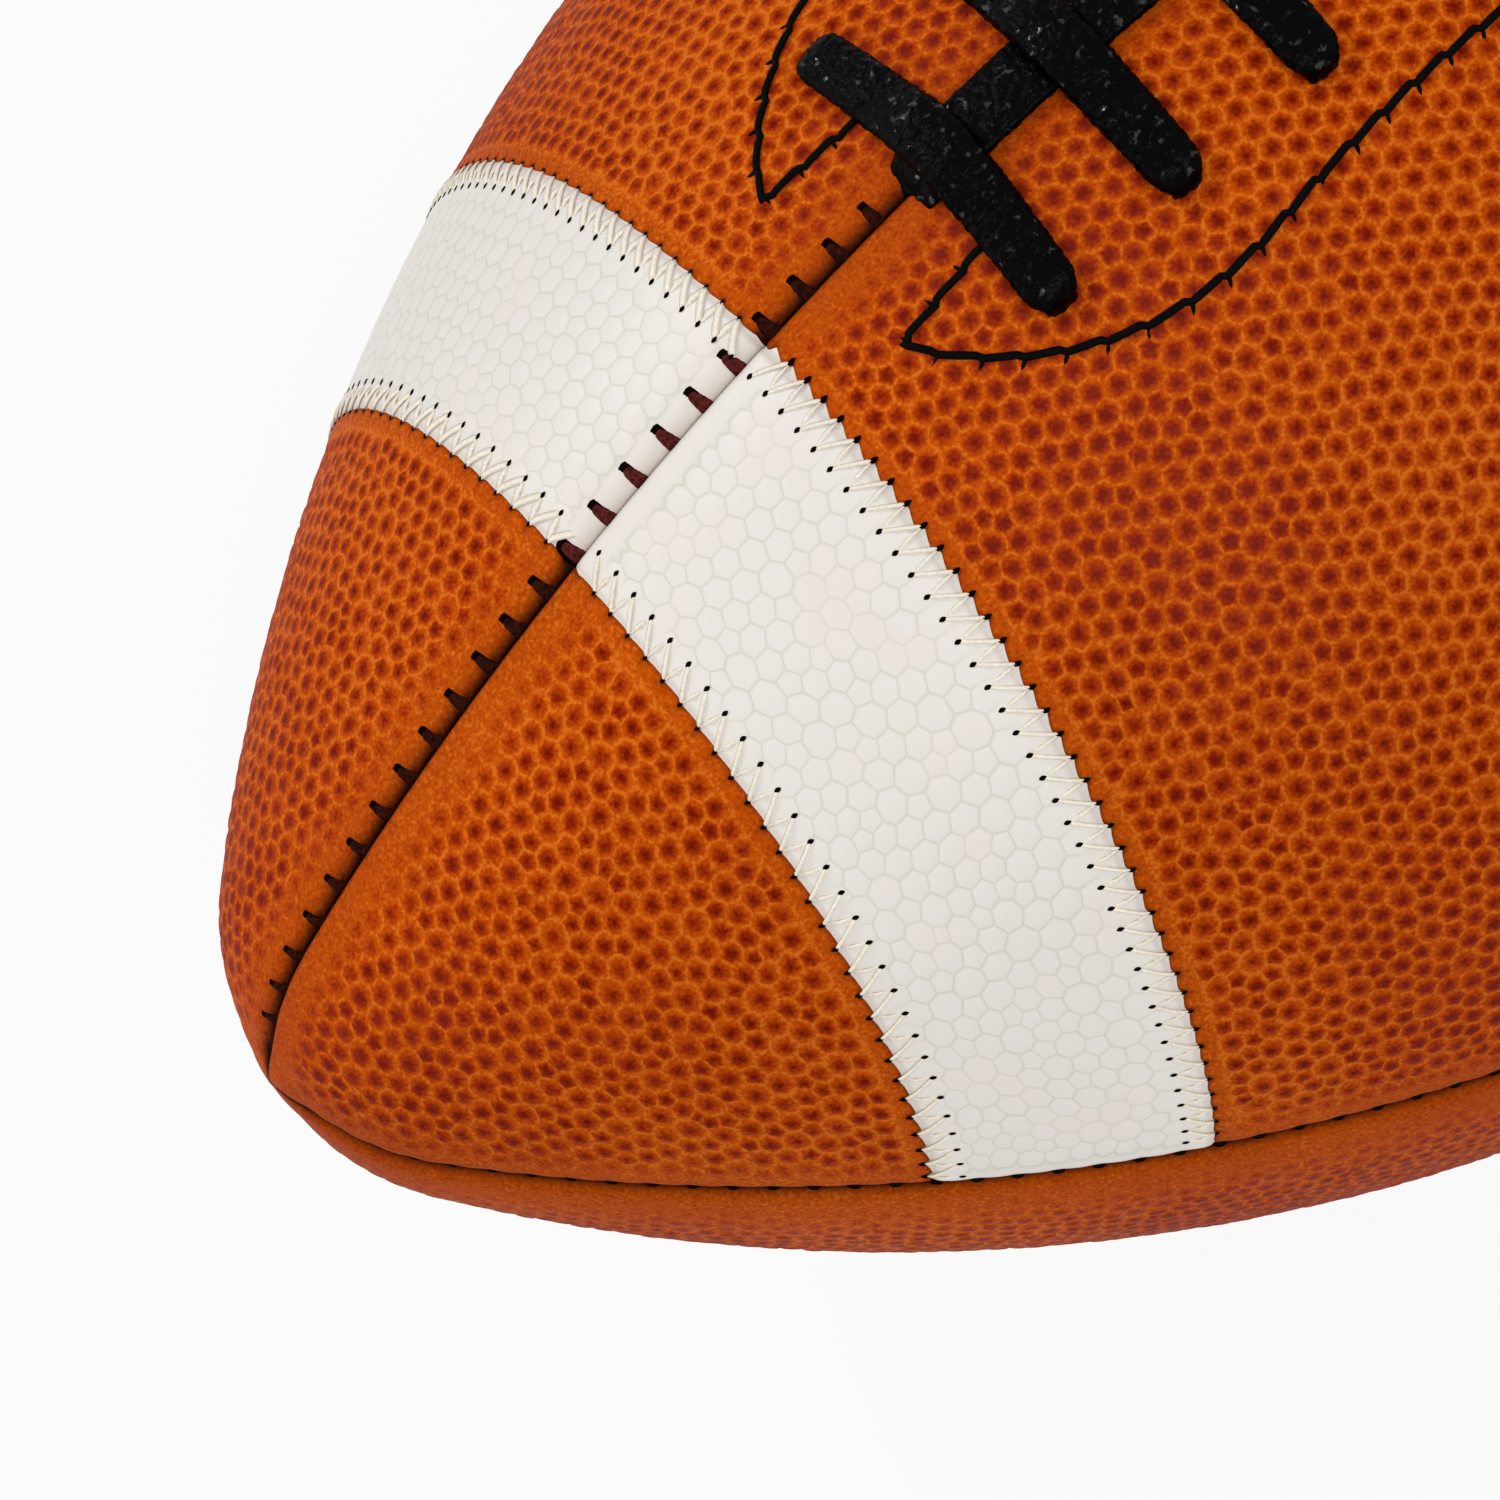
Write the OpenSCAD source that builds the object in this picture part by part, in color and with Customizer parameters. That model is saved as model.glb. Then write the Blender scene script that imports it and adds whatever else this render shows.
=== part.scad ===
// American football: four leather panels sewn round an air bladder and closed by a lace.
// The ball lies with its long axis along X and its lacing seam on top, and the origin is on
// the floor below its middle. The near side is -Y and the far side is +Y, the nose end is -X
// and the tail end is +X. Modules work round the ball's own middle, and standing() lifts them.

/* [Ball shape] */
// Length from tip to tip
ball_length = 286; // [280:1:290]
// Greatest diameter, at the middle
ball_diameter = 170; // [166:1:173]
// Radius of the blunt tip
tip_r = 29; // [26:1:32]
// Slope of the leather where the belly curve meets the flank curve, in degrees
belly_slope = 20; // [16:1:24]
// Slope of the leather where the flank curve meets the tip, in degrees
tip_slope = 48; // [44:1:52]

/* [Panels] */
// Thickness of the leather
leather_t = 1.4; // [1.1:0.1:1.7]
// Thickness of the cloth lining behind the leather
lining_t = 0.9; // [0.6:0.1:1.1]
// Depth of the turned-in seam edges, from the outer surface
seam_depth = 6.5; // [5.5:0.5:7.5]
// Gap between two seam edges that are sewn face to face
seam_gap = 0.2; // [0.1:0.05:0.3]
// Depth of the valley along a seam
valley_depth = 1.2; // [0.6:0.1:1.3]
// Width of the valley along a seam
valley_w = 5; // [3:0.5:7]
// Gap between neighbouring layers
layer_gap = 0.1; // [0.05:0.05:0.2]

/* [Stripes] */
// Width of a white stripe, along the leather
stripe_w = 27; // [22:1:30]
// Distance from the tip to the stripe, along the leather
stripe_start = 70; // [62:1:76]
// Thickness of a stripe
stripe_t = 0.8; // [0.5:0.1:0.9]
// Height by which a stripe stands proud of the leather
stripe_proud = 0.15; // [0.05:0.05:0.3]
// Gap between a stripe and the recess that holds it
stripe_gap = 0.1; // [0.05:0.05:0.2]

/* [Lace] */
// Number of crossbars
bar_count = 8; // [6:1:8]
// Distance from one crossbar to the next, along the leather
bar_pitch = 16.2; // [14:0.2:16.4]
// Width of a crossbar
bar_w = 6.4; // [5:0.2:7]
// Thickness of a crossbar
bar_t = 2.6; // [2:0.1:3]
// Distance from the seam to the middle of a lace hole
hole_reach = 16.5; // [14:0.5:17.5]
// Radius of a lace hole
hole_r = 2.7; // [2.4:0.1:3]
// Radius of the lace where it passes through a hole
leg_r = 2.4; // [1.8:0.1:2.6]
// Radius of the lace where it runs from hole to hole, inside
run_r = 1.8; // [1.4:0.1:2]
// Width of the lace that runs along the seam
runner_w = 7; // [5:0.5:9]
// Thickness of the lace that runs along the seam
runner_t = 1.4; // [1:0.1:1.8]

/* [Lacing patch and guard] */
// Thickness of the patch behind the lace holes
patch_t = 1.6; // [1.2:0.1:2]
// Width of a patch, from the seam edges outwards
patch_w = 27; // [25:0.5:29]
// Length of a patch
patch_length = 142; // [140:1:146]
// Thickness of the guard between the lace and the bladder
guard_t = 1; // [0.6:0.1:1.4]
// Width of the guard
guard_w = 46; // [42:1:50]
// Length of the guard
guard_length = 126; // [122:1:132]

/* [Bladder and valve] */
// Wall of the bladder
bladder_t = 0.8; // [0.5:0.1:1.2]
// Distance from the lower seam to the valve, along the leather
valve_reach = 24; // [20:1:34]
// Radius of the valve hole in the leather
valve_hole_r = 3.2; // [2.8:0.1:3.8]
// Radius of the valve collar's neck
collar_r = 2.8; // [2.4:0.1:3]
// Radius of the valve collar's flange
flange_r = 9; // [7:0.5:12]
// Thickness of the valve collar's flange
flange_t = 1.2; // [0.8:0.1:1.6]
// Length of the valve stem below the flange
stem_length = 14; // [11:1:18]
// Radius of the valve stem
stem_r = 4; // [3.4:0.1:4.8]
// Radius of the soft plug inside the stem
plug_r = 2.2; // [1.7:0.1:2.3]
// Radius of the needle bore in the plug
needle_r = 1; // [0.8:0.05:1.2]

/* [Threads] */
// Radius of the seam thread
seam_thread_r = 0.5; // [0.35:0.05:0.6]
// Length of a seam stitch
seam_stitch = 5; // [4:0.5:7]
// Radius of the zigzag thread at the stripes
zigzag_r = 0.2; // [0.15:0.05:0.3]
// Length of a zigzag stitch, along the stripe
zigzag_pitch = 2.4; // [2.2:0.1:3.4]
// Width of the zigzag, across the stripe's edge
zigzag_w = 3; // [2:0.2:4]
// Radius of the black thread round the lacing
outline_r = 0.35; // [0.25:0.05:0.45]
// Distance from the middle of the lacing to the outline's corner, along the seam
outline_length = 70; // [66:0.5:70.5]
// Distance from the seam to the widest place of the outline
outline_w = 27; // [25:0.5:28]

/* [Hidden] */
$fn = 120;
degrees = 180 / PI;
overrun = 1;
// The flank lies this much low, so that its arc crosses its neighbours cleanly
blend = 0.05;

// The outline is three arcs in each half, a belly arc, a flank arc and the tip, and each
// runs smoothly into the next. Two sums fix the first two radii: the arcs must rise from
// the axis to the ball's radius, and reach from its middle to its tip.
half_length = ball_length / 2;
ball_r = ball_diameter / 2;
rise = ball_r - tip_r * cos(tip_slope);
reach = half_length - tip_r * (1 - sin(tip_slope));
belly_rise_share = 1 - cos(belly_slope);
flank_rise_share = cos(belly_slope) - cos(tip_slope);
belly_reach_share = sin(belly_slope);
flank_reach_share = sin(tip_slope) - sin(belly_slope);
solve_share = belly_rise_share * flank_reach_share - flank_rise_share * belly_reach_share;
belly_r = (rise * flank_reach_share - flank_rise_share * reach) / solve_share;
flank_r = (belly_rise_share * reach - belly_reach_share * rise) / solve_share;

// Centres of the arcs, as [distance from the axis, place along it]
belly_centre = [ball_r - belly_r, 0];
flank_centre = belly_centre + (belly_r - flank_r) * [cos(belly_slope), sin(belly_slope)];
tip_centre = [0, half_length - tip_r];

// Lengths of the arcs, along the leather
belly_arc = belly_r * belly_slope / degrees;
flank_arc = flank_r * (tip_slope - belly_slope) / degrees;
tip_arc = tip_r * (90 - tip_slope) / degrees;
half_arc = belly_arc + flank_arc + tip_arc;

// The angles that the overrun takes up on the flank arc and on the tip
flank_lap = overrun / flank_r * degrees;
tip_lap = overrun / tip_r * degrees;

// Slope of the leather at a distance along it from the middle, towards the tail if positive
function slope_at(s) =
    let (t = abs(s))
    sign(s) * (t < belly_arc ? t / belly_r * degrees
        : t < belly_arc + flank_arc ? belly_slope + (t - belly_arc) / flank_r * degrees
        : tip_slope + (t - belly_arc - flank_arc) / tip_r * degrees);

function centre_at(a) =
    abs(a) <= belly_slope ? belly_centre
    : abs(a) <= tip_slope ? [flank_centre[0], sign(a) * flank_centre[1]]
    : [tip_centre[0], sign(a) * tip_centre[1]];

function radius_at(a) =
    abs(a) <= belly_slope ? belly_r : abs(a) <= tip_slope ? flank_r : tip_r;

// A point of the outline, [from the axis, along it], raised above the leather by out
function outline_point(s, out = 0) =
    let (a = slope_at(s))
    centre_at(a) + (radius_at(a) + out) * [cos(a), sin(a)];

// The same point turned round the axis by angle, from the lacing towards the near side
function ball_point(s, angle, out = 0) =
    let (p = outline_point(s, out))
    [p[1], -p[0] * sin(angle), p[0] * cos(angle)];

function ball_normal(s, angle) =
    let (a = slope_at(s))
    [sin(a), -cos(a) * sin(angle), cos(a) * cos(angle)];

// The angle round the axis that a distance across the leather takes up
function angle_across(s, across) = across / outline_point(s)[0] * degrees;

// Layers, as depths below the outer surface
lining_out = leather_t + layer_gap;
lining_in = lining_out + lining_t;
patch_out = lining_in + layer_gap;
patch_in = patch_out + patch_t;
run_depth = patch_in + run_r + layer_gap;
leg_depth = run_depth + leg_r;
guard_out = leg_depth + layer_gap;
guard_in = guard_out + guard_t;
bladder_out = lining_in + layer_gap;

// Seam edges, as distances from the plane of the seam
leather_edge = seam_gap / 2;
lining_edge = leather_edge + leather_t + layer_gap;
edge_stack = lining_edge + lining_t;
pocket_edge = edge_stack + 2 * seam_thread_r + layer_gap;
thread_depth = (seam_depth + leather_t) / 2;

// Stripe edges, as distances along the leather from the middle
stripe_far = half_arc - stripe_start;
stripe_near = stripe_far - stripe_w;

// Lace
lacing_half = (bar_count - 1) / 2 * bar_pitch;
runner_end = lacing_half + bar_w / 2;
patch_edge = edge_stack + 2 * layer_gap;

// Heights of the runner's and the crossbars' middles above the leather
runner_lift = runner_t / 2 + layer_gap;
bar_lift = runner_lift + (runner_t + bar_t) / 2 - layer_gap;

// The top seam is sewn from the lacing outwards, and every seam stops halfway round the tip
seam_start = runner_end + seam_stitch;
seam_end = half_arc - tip_arc / 2;

// Valve
valve_angle = 180 - valve_reach / ball_r * degrees;

// Lifts a piece that was made round the ball's middle, so that the ball lies on the floor
module standing()
{
    translate([0, 0, ball_r])
        children();
}

// The slice of a circle between two directions, in [from the axis, along it]
module slice(centre, radius, from, to)
{
    translate(centre)
        intersection() {
            circle(radius);
            polygon([
                [0, 0],
                2 * radius * [cos(from), sin(from)],
                2 * radius * [cos(to), sin(to)]
            ]);
        }
}

// Half of the ball's long section, from the axis out, at a depth below the leather. The
// belly's circle ends where the belly does, because on a slim ball it is the flatter arc.
module half_section(depth)
{
    belly_half = outline_point(belly_arc, -depth)[1] + overrun;
    intersection() {
        union() {
            intersection() {
                translate(belly_centre)
                    circle(belly_r - depth);
                translate([0, -belly_half])
                    square([ball_r + overrun, 2 * belly_half]);
            }
            for (end = [0, 1])
                mirror([0, end]) {
                    slice(flank_centre, flank_r - blend - depth, belly_slope - flank_lap, tip_slope);
                    translate(tip_centre)
                        circle(tip_r - depth);
                }
        }
        translate([0, -half_length - overrun])
            square([ball_r + overrun, ball_length + 2 * overrun]);
    }
}

// Turns a drawing in [from the axis, along it] round the axis between two angles
module turn(from = 0, to = 360)
{
    rotate([0, 90, 0])
        rotate_extrude(angle = to - from, start = 180 + from)
            children();
}

// The whole ball at a depth below the leather
module ball(depth)
{
    turn()
        half_section(depth);
}

// The space of the near upper panel, at a distance inside its two seam planes
module quarter(edge)
{
    translate([-half_length, -ball_r - overrun, edge])
        cube([ball_length, ball_r + overrun - edge, ball_r + overrun]);
}

// Sweeps a drawing in [from the arc's centre, across the seam] along the top seam
module along_arc(centre, from, to)
{
    translate([centre[1], 0, centre[0]])
        rotate([90, 0, 0])
            rotate_extrude(angle = to - from, start = 90 - to)
                children();
}

// The V-shaped cut of one seam's valley, where the leather follows one of its three arcs
module valley(centre, radius, from, to)
{
    wide = valley_w / 2 * (valley_depth + overrun) / valley_depth;
    along_arc(centre, from, to)
        polygon([
            [radius - valley_depth, 0],
            [radius + overrun, wide],
            [radius + overrun, -wide]
        ]);
}

// The valleys of the upper seam and the side seam over one arc, at both ends of the ball
module valleys(centre, radius, from, to)
{
    for (turned = [0, 90])
        for (end = [0, 1])
            rotate([turned, 0, 0])
                mirror([end, 0, 0])
                    valley(centre, radius, from, to);
}

// Cuts the valleys into a near upper panel. Each cut laps into the space of the one before
// and is a little less deep, so that no fin is left where two of them meet.
module with_valleys()
{
    difference() {
        difference() {
            difference() {
                children();
                for (turned = [0, 90])
                    rotate([turned, 0, 0])
                        valley(belly_centre, belly_r, -belly_slope, belly_slope);
            }
            valleys(flank_centre, flank_r + blend, belly_slope - flank_lap, tip_slope);
        }
        valleys(tip_centre, tip_r + 2 * blend, tip_slope - tip_lap, 90 + tip_lap);
    }
}

// A near upper panel: the skin and its two turned-in seam edges
module panel_skin(outer, inner, edge, edge_t)
{
    difference() {
        intersection() {
            ball(outer);
            quarter(edge);
        }
        intersection() {
            ball(inner);
            quarter(edge + edge_t);
        }
        ball(seam_depth);
    }
}

// Places the near upper panel at one of the four panels' places
module at_panel(side, lower)
{
    mirror([0, side, 0])
        mirror([0, 0, lower])
            children();
}

// Stands its children on the leather, pointing out of it
module on_ball(s, angle, out = 0)
{
    p = outline_point(s, out);
    rotate([angle, 0, 0])
        translate([p[1], 0, p[0]])
            rotate([0, slope_at(s), 0])
                children();
}

// The holes stand square to the leather at the place where a crossbar starts to bend down
module lace_holes(radius)
{
    for (i = [0:bar_count - 1]) {
        s = i * bar_pitch - lacing_half;
        on_ball(s, angle_across(s, hole_reach - bar_lift))
            translate([0, -bar_lift, -leg_depth])
                cylinder(r = radius, h = leg_depth + overrun);
    }
}

// The band that a stripe fills, between two depths and widened by a gap
module stripe_band(top, bottom, gap, edge_angle)
{
    turn(edge_angle, 90 - edge_angle)
        difference() {
            slice(
                flank_centre, flank_r - top,
                slope_at(stripe_near - gap), slope_at(stripe_far + gap)
            );
            translate(flank_centre)
                circle(flank_r - bottom);
        }
}

module laced_leather(side)
{
    color("#b9571f")
        at_panel(side, 0)
            difference() {
                with_valleys()
                    panel_skin(0, leather_t, leather_edge, leather_t);
                lace_holes(hole_r);
                for (end = [0, 1])
                    mirror([end, 0, 0])
                        stripe_band(-overrun, stripe_t, stripe_gap, -angle_across(stripe_near, overrun));
            }
}

module plain_leather(side)
{
    color("#b9571f")
        difference() {
            at_panel(side, 1)
                with_valleys()
                    panel_skin(0, leather_t, leather_edge, leather_t);
            if (side == 0)
                valve_hole(valve_hole_r);
        }
}

module valve_hole(radius)
{
    on_ball(0, valve_angle, -seam_depth)
        cylinder(r = radius, h = seam_depth + overrun);
}

module laced_lining(side)
{
    color("#d9cfbd")
        at_panel(side, 0)
            difference() {
                panel_skin(lining_out, lining_in, lining_edge, lining_t);
                lace_holes(hole_r);
            }
}

module plain_lining(side)
{
    color("#d9cfbd")
        difference() {
            at_panel(side, 1)
                panel_skin(lining_out, lining_in, lining_edge, lining_t);
            if (side == 0)
                valve_hole(valve_hole_r);
        }
}

// A stripe's ends stop short of the seams by half the valley
module stripe(side, end)
{
    clear = angle_across(stripe_near, valley_w / 2);
    color("#eceae6")
        at_panel(side, 0)
            mirror([end, 0, 0])
                stripe_band(-stripe_proud, stripe_t - stripe_gap, 0, clear);
}

function unit(v) = v / norm(v);

// How far a thread's side moves at a bend, along the bend's middle line
bend_limit_share = 0.35;
function bend_side(before, here, after, up) =
    let (
        first = unit(here - before),
        second = unit(after - here),
        side = unit(cross(unit(first + second), up))
    )
    side / max(bend_limit_share, side * unit(cross(first, up)));

// A four-sided thread through a list of points, each with the direction that faces up there
module thread(points, ups, radius)
{
    last = len(points) - 1;
    rings = [
        for (i = [0:last])
            let (
                before = i == 0 ? 2 * points[0] - points[1] : points[i - 1],
                after = i == last ? 2 * points[last] - points[last - 1] : points[i + 1],
                side = radius * bend_side(before, points[i], after, ups[i]),
                up = radius * ups[i]
            )
            each [points[i] + side, points[i] + up, points[i] - side, points[i] - up]
    ];
    walls = [
        for (i = [0:last - 1])
            for (k = [0:3])
                let (a = 4 * i + k, b = 4 * i + (k + 1) % 4)
                each [[a, b, b + 4], [a, b + 4, a + 4]]
    ];
    end = 4 * last;
    ends = [[0, 2, 1], [0, 3, 2], [end, end + 1, end + 2], [end, end + 2, end + 3]];
    polyhedron(points = rings, faces = concat(walls, ends));
}

// The zigzag over one edge of a stripe: its corners lie either side of the edge
module zigzag_edge(edge)
{
    r_here = outline_point(edge)[0];
    first = angle_across(edge, valley_w / 2 + zigzag_pitch);
    count = 2 * floor((90 - 2 * first) / degrees * r_here / zigzag_pitch);
    lift = stripe_proud + zigzag_r;
    step = (90 - 2 * first) / count;
    thread(
        [for (i = [0:count]) ball_point(edge + (i % 2 - 0.5) * zigzag_w, first + i * step, lift)],
        [for (i = [0:count]) ball_normal(edge + (i % 2 - 0.5) * zigzag_w, first + i * step)],
        zigzag_r
    );
}

module zigzag(side, end)
{
    color("#e8dcc0")
        at_panel(side, 0)
            mirror([end, 0, 0]) {
                zigzag_edge(stripe_near);
                zigzag_edge(stripe_far);
            }
}

// A running stitch in the top seam's plane, in and out through the turned-in edges
module seam_stitches(from, to)
{
    count = floor((to - from) / seam_stitch);
    out = edge_stack + seam_thread_r;
    places = [
        for (i = [0:count - 1])
            let (y = (i % 2 == 0 ? 1 : -1) * out)
            each [[from + i * seam_stitch, y], [from + (i + 1) * seam_stitch, y]]
    ];
    thread(
        [for (p = places) ball_point(p[0], 0, -thread_depth) + [0, p[1], 0]],
        [for (p = places) ball_normal(p[0], 0)],
        seam_thread_r
    );
}

module seam_thread(turned, from, to)
{
    color("#4a2412")
        rotate([turned, 0, 0])
            seam_stitches(from, to);
}

module lace_patch(side)
{
    color("#8b7d68")
        mirror([0, side, 0])
            difference() {
                intersection() {
                    ball(patch_out);
                    translate([-patch_length / 2, -patch_edge - patch_w, 0])
                        cube([patch_length, patch_w, ball_r]);
                }
                ball(patch_in);
                lace_holes(hole_r);
            }
}

// One end of the stitched outline, as shares of its length and of its width
outline_shares = [
    [0.85, 0.35], [1, 0.4], [0.965, 0.56], [0.9, 0.73], [0.81, 0.88], [0.7, 0.98],
    [0.58, 1], [0.42, 0.95], [0.21, 0.9], [0, 0.89]
];
tail_outline_shares = [
    for (i = [len(outline_shares) - 2:-1:0])
        [-outline_shares[i][0], outline_shares[i][1]]
];

module lace_outline(side)
{
    places = [
        for (p = concat(outline_shares, tail_outline_shares))
            [p[0] * outline_length, angle_across(p[0] * outline_length, p[1] * outline_w)]
    ];
    color("#1c1a18")
        mirror([0, side, 0])
            thread(
                [for (p = places) ball_point(p[0], p[1], outline_r)],
                [for (p = places) ball_normal(p[0], p[1])],
                outline_r
            );
}

// The angle round the axis of a leg, at the depth of the inner runs
function leg_angle(s) =
    angle_across(s, hole_reach - bar_lift) + atan(bar_lift / (outline_point(s)[0] - run_depth));

// The section of a crossbar or runner: a flat strip with rounded corners
corner_share = 0.4;
module strip_section(width, thick)
{
    corner = corner_share * thick;
    polygon([
        for (quarter = [0:3], turn = [0, 45, 90])
            let (a = 90 * quarter + turn)
            [
                sign(cos(90 * quarter + 45)) * (thick / 2 - corner) + corner * cos(a),
                sign(sin(90 * quarter + 45)) * (width / 2 - corner) + corner * sin(a)
            ]
    ]);
}

module rod(from, to, radius)
{
    v = to - from;
    translate(from)
        rotate([0, acos(v[2] / norm(v)), atan2(v[1], v[0])])
            cylinder(r = radius, h = norm(v));
}

// The runner lies along the seam, the crossbars over it, and each end drops through a hole
module lace()
{
    color("#161514") {
        lace_runner();
        for (i = [0:bar_count - 1])
            crossbar(i * bar_pitch - lacing_half);
        for (side = [0, 1])
            mirror([0, side, 0])
                for (i = [0:bar_count - 2])
                    inner_run(i * bar_pitch - lacing_half, (i + 1) * bar_pitch - lacing_half);
    }
}

// The middle stretch is a little larger and laps over the two outer ones
module lace_runner()
{
    lap = overrun / belly_r * degrees;
    along_arc(belly_centre, -belly_slope - lap, belly_slope + lap)
        translate([belly_r + runner_lift, 0])
            strip_section(runner_w + 2 * blend, runner_t + 2 * blend);
    for (end = [0, 1])
        mirror([end, 0, 0])
            along_arc(flank_centre, belly_slope, slope_at(runner_end))
                translate([flank_r + runner_lift, 0])
                    strip_section(runner_w, runner_t);
}

// A crossbar bends down at both ends and goes on through the holes as a round leg. The
// bends are a little larger and lap over the bar.
module crossbar(s)
{
    bend_angle = angle_across(s, hole_reach - bar_lift);
    lap = overrun / bar_lift * degrees;
    turn(-bend_angle, bend_angle)
        translate(outline_point(s, bar_lift))
            rotate(slope_at(s))
                strip_section(bar_w, bar_t);
    for (side = [0, 1])
        mirror([0, side, 0])
            on_ball(s, bend_angle) {
                rotate([0, 90, 0])
                    rotate_extrude(angle = 90 + lap, start = 180 - lap)
                        translate([bar_lift, 0])
                            strip_section(bar_w + 2 * blend, bar_t + 2 * blend);
                translate([0, -bar_lift, -leg_depth])
                    cylinder(r = leg_r, h = leg_depth + bar_t / 4);
            }
}

module inner_run(from, to)
{
    rod(
        ball_point(from, leg_angle(from), -run_depth),
        ball_point(to, leg_angle(to), -run_depth),
        run_r
    );
}

// A block over the middle of the lacing, from which a curved sheet is cut
module sheet_block(length, width)
{
    translate([-length / 2, -width / 2, 0])
        cube([length, width, ball_r]);
}

// The room that a sheet takes out of the bladder's form
module sheet_pocket(length, width, depth, clear)
{
    difference() {
        sheet_block(length + 2 * clear, width + 2 * clear);
        ball(depth + clear);
    }
}

module lace_guard()
{
    color("#a39a86")
        difference() {
            intersection() {
                ball(guard_out);
                sheet_block(guard_length, guard_w);
            }
            ball(guard_in);
        }
}

// The bladder's outer form, which fills the ball up to the seam edges, patches and guard
module bladder_form(inset)
{
    difference() {
        ball(bladder_out + inset);
        for (turned = [0, 90])
            rotate([turned, 0, 0])
                seam_pocket(inset);
        sheet_pocket(patch_length, 2 * (patch_edge + patch_w), patch_in, layer_gap + inset);
        sheet_pocket(guard_length, guard_w, guard_in, layer_gap + inset);
        on_ball(0, valve_angle, -lining_in - layer_gap - flange_t - inset)
            cylinder(r = flange_r + layer_gap + inset, h = lining_in + flange_t);
    }
}

module seam_pocket(inset)
{
    thick = 2 * (pocket_edge + inset);
    rotate([90, 0, 0])
        translate([0, 0, -thick / 2])
            linear_extrude(thick)
                difference() {
                    square([ball_length, ball_diameter], center = true);
                    for (half = [0, 1])
                        mirror([0, half])
                            rotate(90)
                                mirror([0, 1])
                                    half_section(seam_depth + layer_gap + inset);
                }
}

module bladder()
{
    color("#3a3836")
        difference() {
            bladder_form(0);
            bladder_form(bladder_t);
            on_ball(0, valve_angle, -seam_depth - stem_length)
                cylinder(r = stem_r + layer_gap, h = seam_depth + stem_length);
        }
}

// The collar's flange lies behind the lining, its neck fills the hole and its stem points in
module valve_collar()
{
    flange_top = lining_in + layer_gap;
    color("#2b2a29")
        on_ball(0, valve_angle)
            difference() {
                union() {
                    translate([0, 0, -flange_top - flange_t + layer_gap])
                        cylinder(r = flange_r, h = flange_t - layer_gap);
                    translate([0, 0, -flange_top - layer_gap])
                        cylinder(r = collar_r, h = flange_top);
                    translate([0, 0, -flange_top - flange_t - stem_length])
                        cylinder(r = stem_r, h = stem_length + flange_t / 2);
                }
                translate([0, 0, -flange_top - flange_t - stem_length - overrun])
                    cylinder(r = plug_r, h = flange_top + flange_t + stem_length + 2 * overrun);
            }
}

module valve_plug()
{
    plug_length = lining_in + flange_t + stem_length;
    color("#191817")
        on_ball(0, valve_angle)
            difference() {
                translate([0, 0, -plug_length])
                    cylinder(r = plug_r, h = plug_length - 2 * layer_gap);
                translate([0, 0, -plug_length - overrun])
                    cylinder(r = needle_r, h = plug_length + 2 * overrun);
            }
}

standing() laced_leather(0);  // laced_panel_near
standing() laced_leather(1);  // laced_panel_far
standing() plain_leather(0);  // plain_panel_near
standing() plain_leather(1);  // plain_panel_far
standing() laced_lining(0);  // laced_lining_near
standing() laced_lining(1);  // laced_lining_far
standing() plain_lining(0);  // plain_lining_near
standing() plain_lining(1);  // plain_lining_far
standing() stripe(0, 1);  // nose_stripe_near
standing() stripe(1, 1);  // nose_stripe_far
standing() stripe(0, 0);  // tail_stripe_near
standing() stripe(1, 0);  // tail_stripe_far
standing() zigzag(0, 1);  // nose_zigzag_near
standing() zigzag(1, 1);  // nose_zigzag_far
standing() zigzag(0, 0);  // tail_zigzag_near
standing() zigzag(1, 0);  // tail_zigzag_far
standing() seam_thread(0, -seam_end, -seam_start);  // top_seam_thread_nose
standing() seam_thread(0, seam_start, seam_end);  // top_seam_thread_tail
standing() seam_thread(90, -seam_end, seam_end);  // near_seam_thread
standing() seam_thread(-90, -seam_end, seam_end);  // far_seam_thread
standing() seam_thread(180, -seam_end, seam_end);  // belly_seam_thread
standing() lace_patch(0);  // lace_patch_near
standing() lace_patch(1);  // lace_patch_far
standing() lace_outline(0);  // lace_outline_near
standing() lace_outline(1);  // lace_outline_far
standing() lace();
standing() lace_guard();
standing() bladder();
standing() valve_collar();
standing() valve_plug();
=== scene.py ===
# %% [markdown]
# An american football is four leather panels, sewn inside out, turned, and closed over an air
# bladder by a lace. What makes it look real is small: leather pebbles of two millimetres, seams
# that roll inwards, stitches that pull the edge in. This lesson builds each of them as a mesh
# round a model that is already the right size, which is loaded first and never changed.

# %% Load the fixed frame
import math

import bpy
import numpy as np
from mathutils import Euler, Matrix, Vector
from mathutils.geometry import delaunay_2d_cdt


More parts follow.
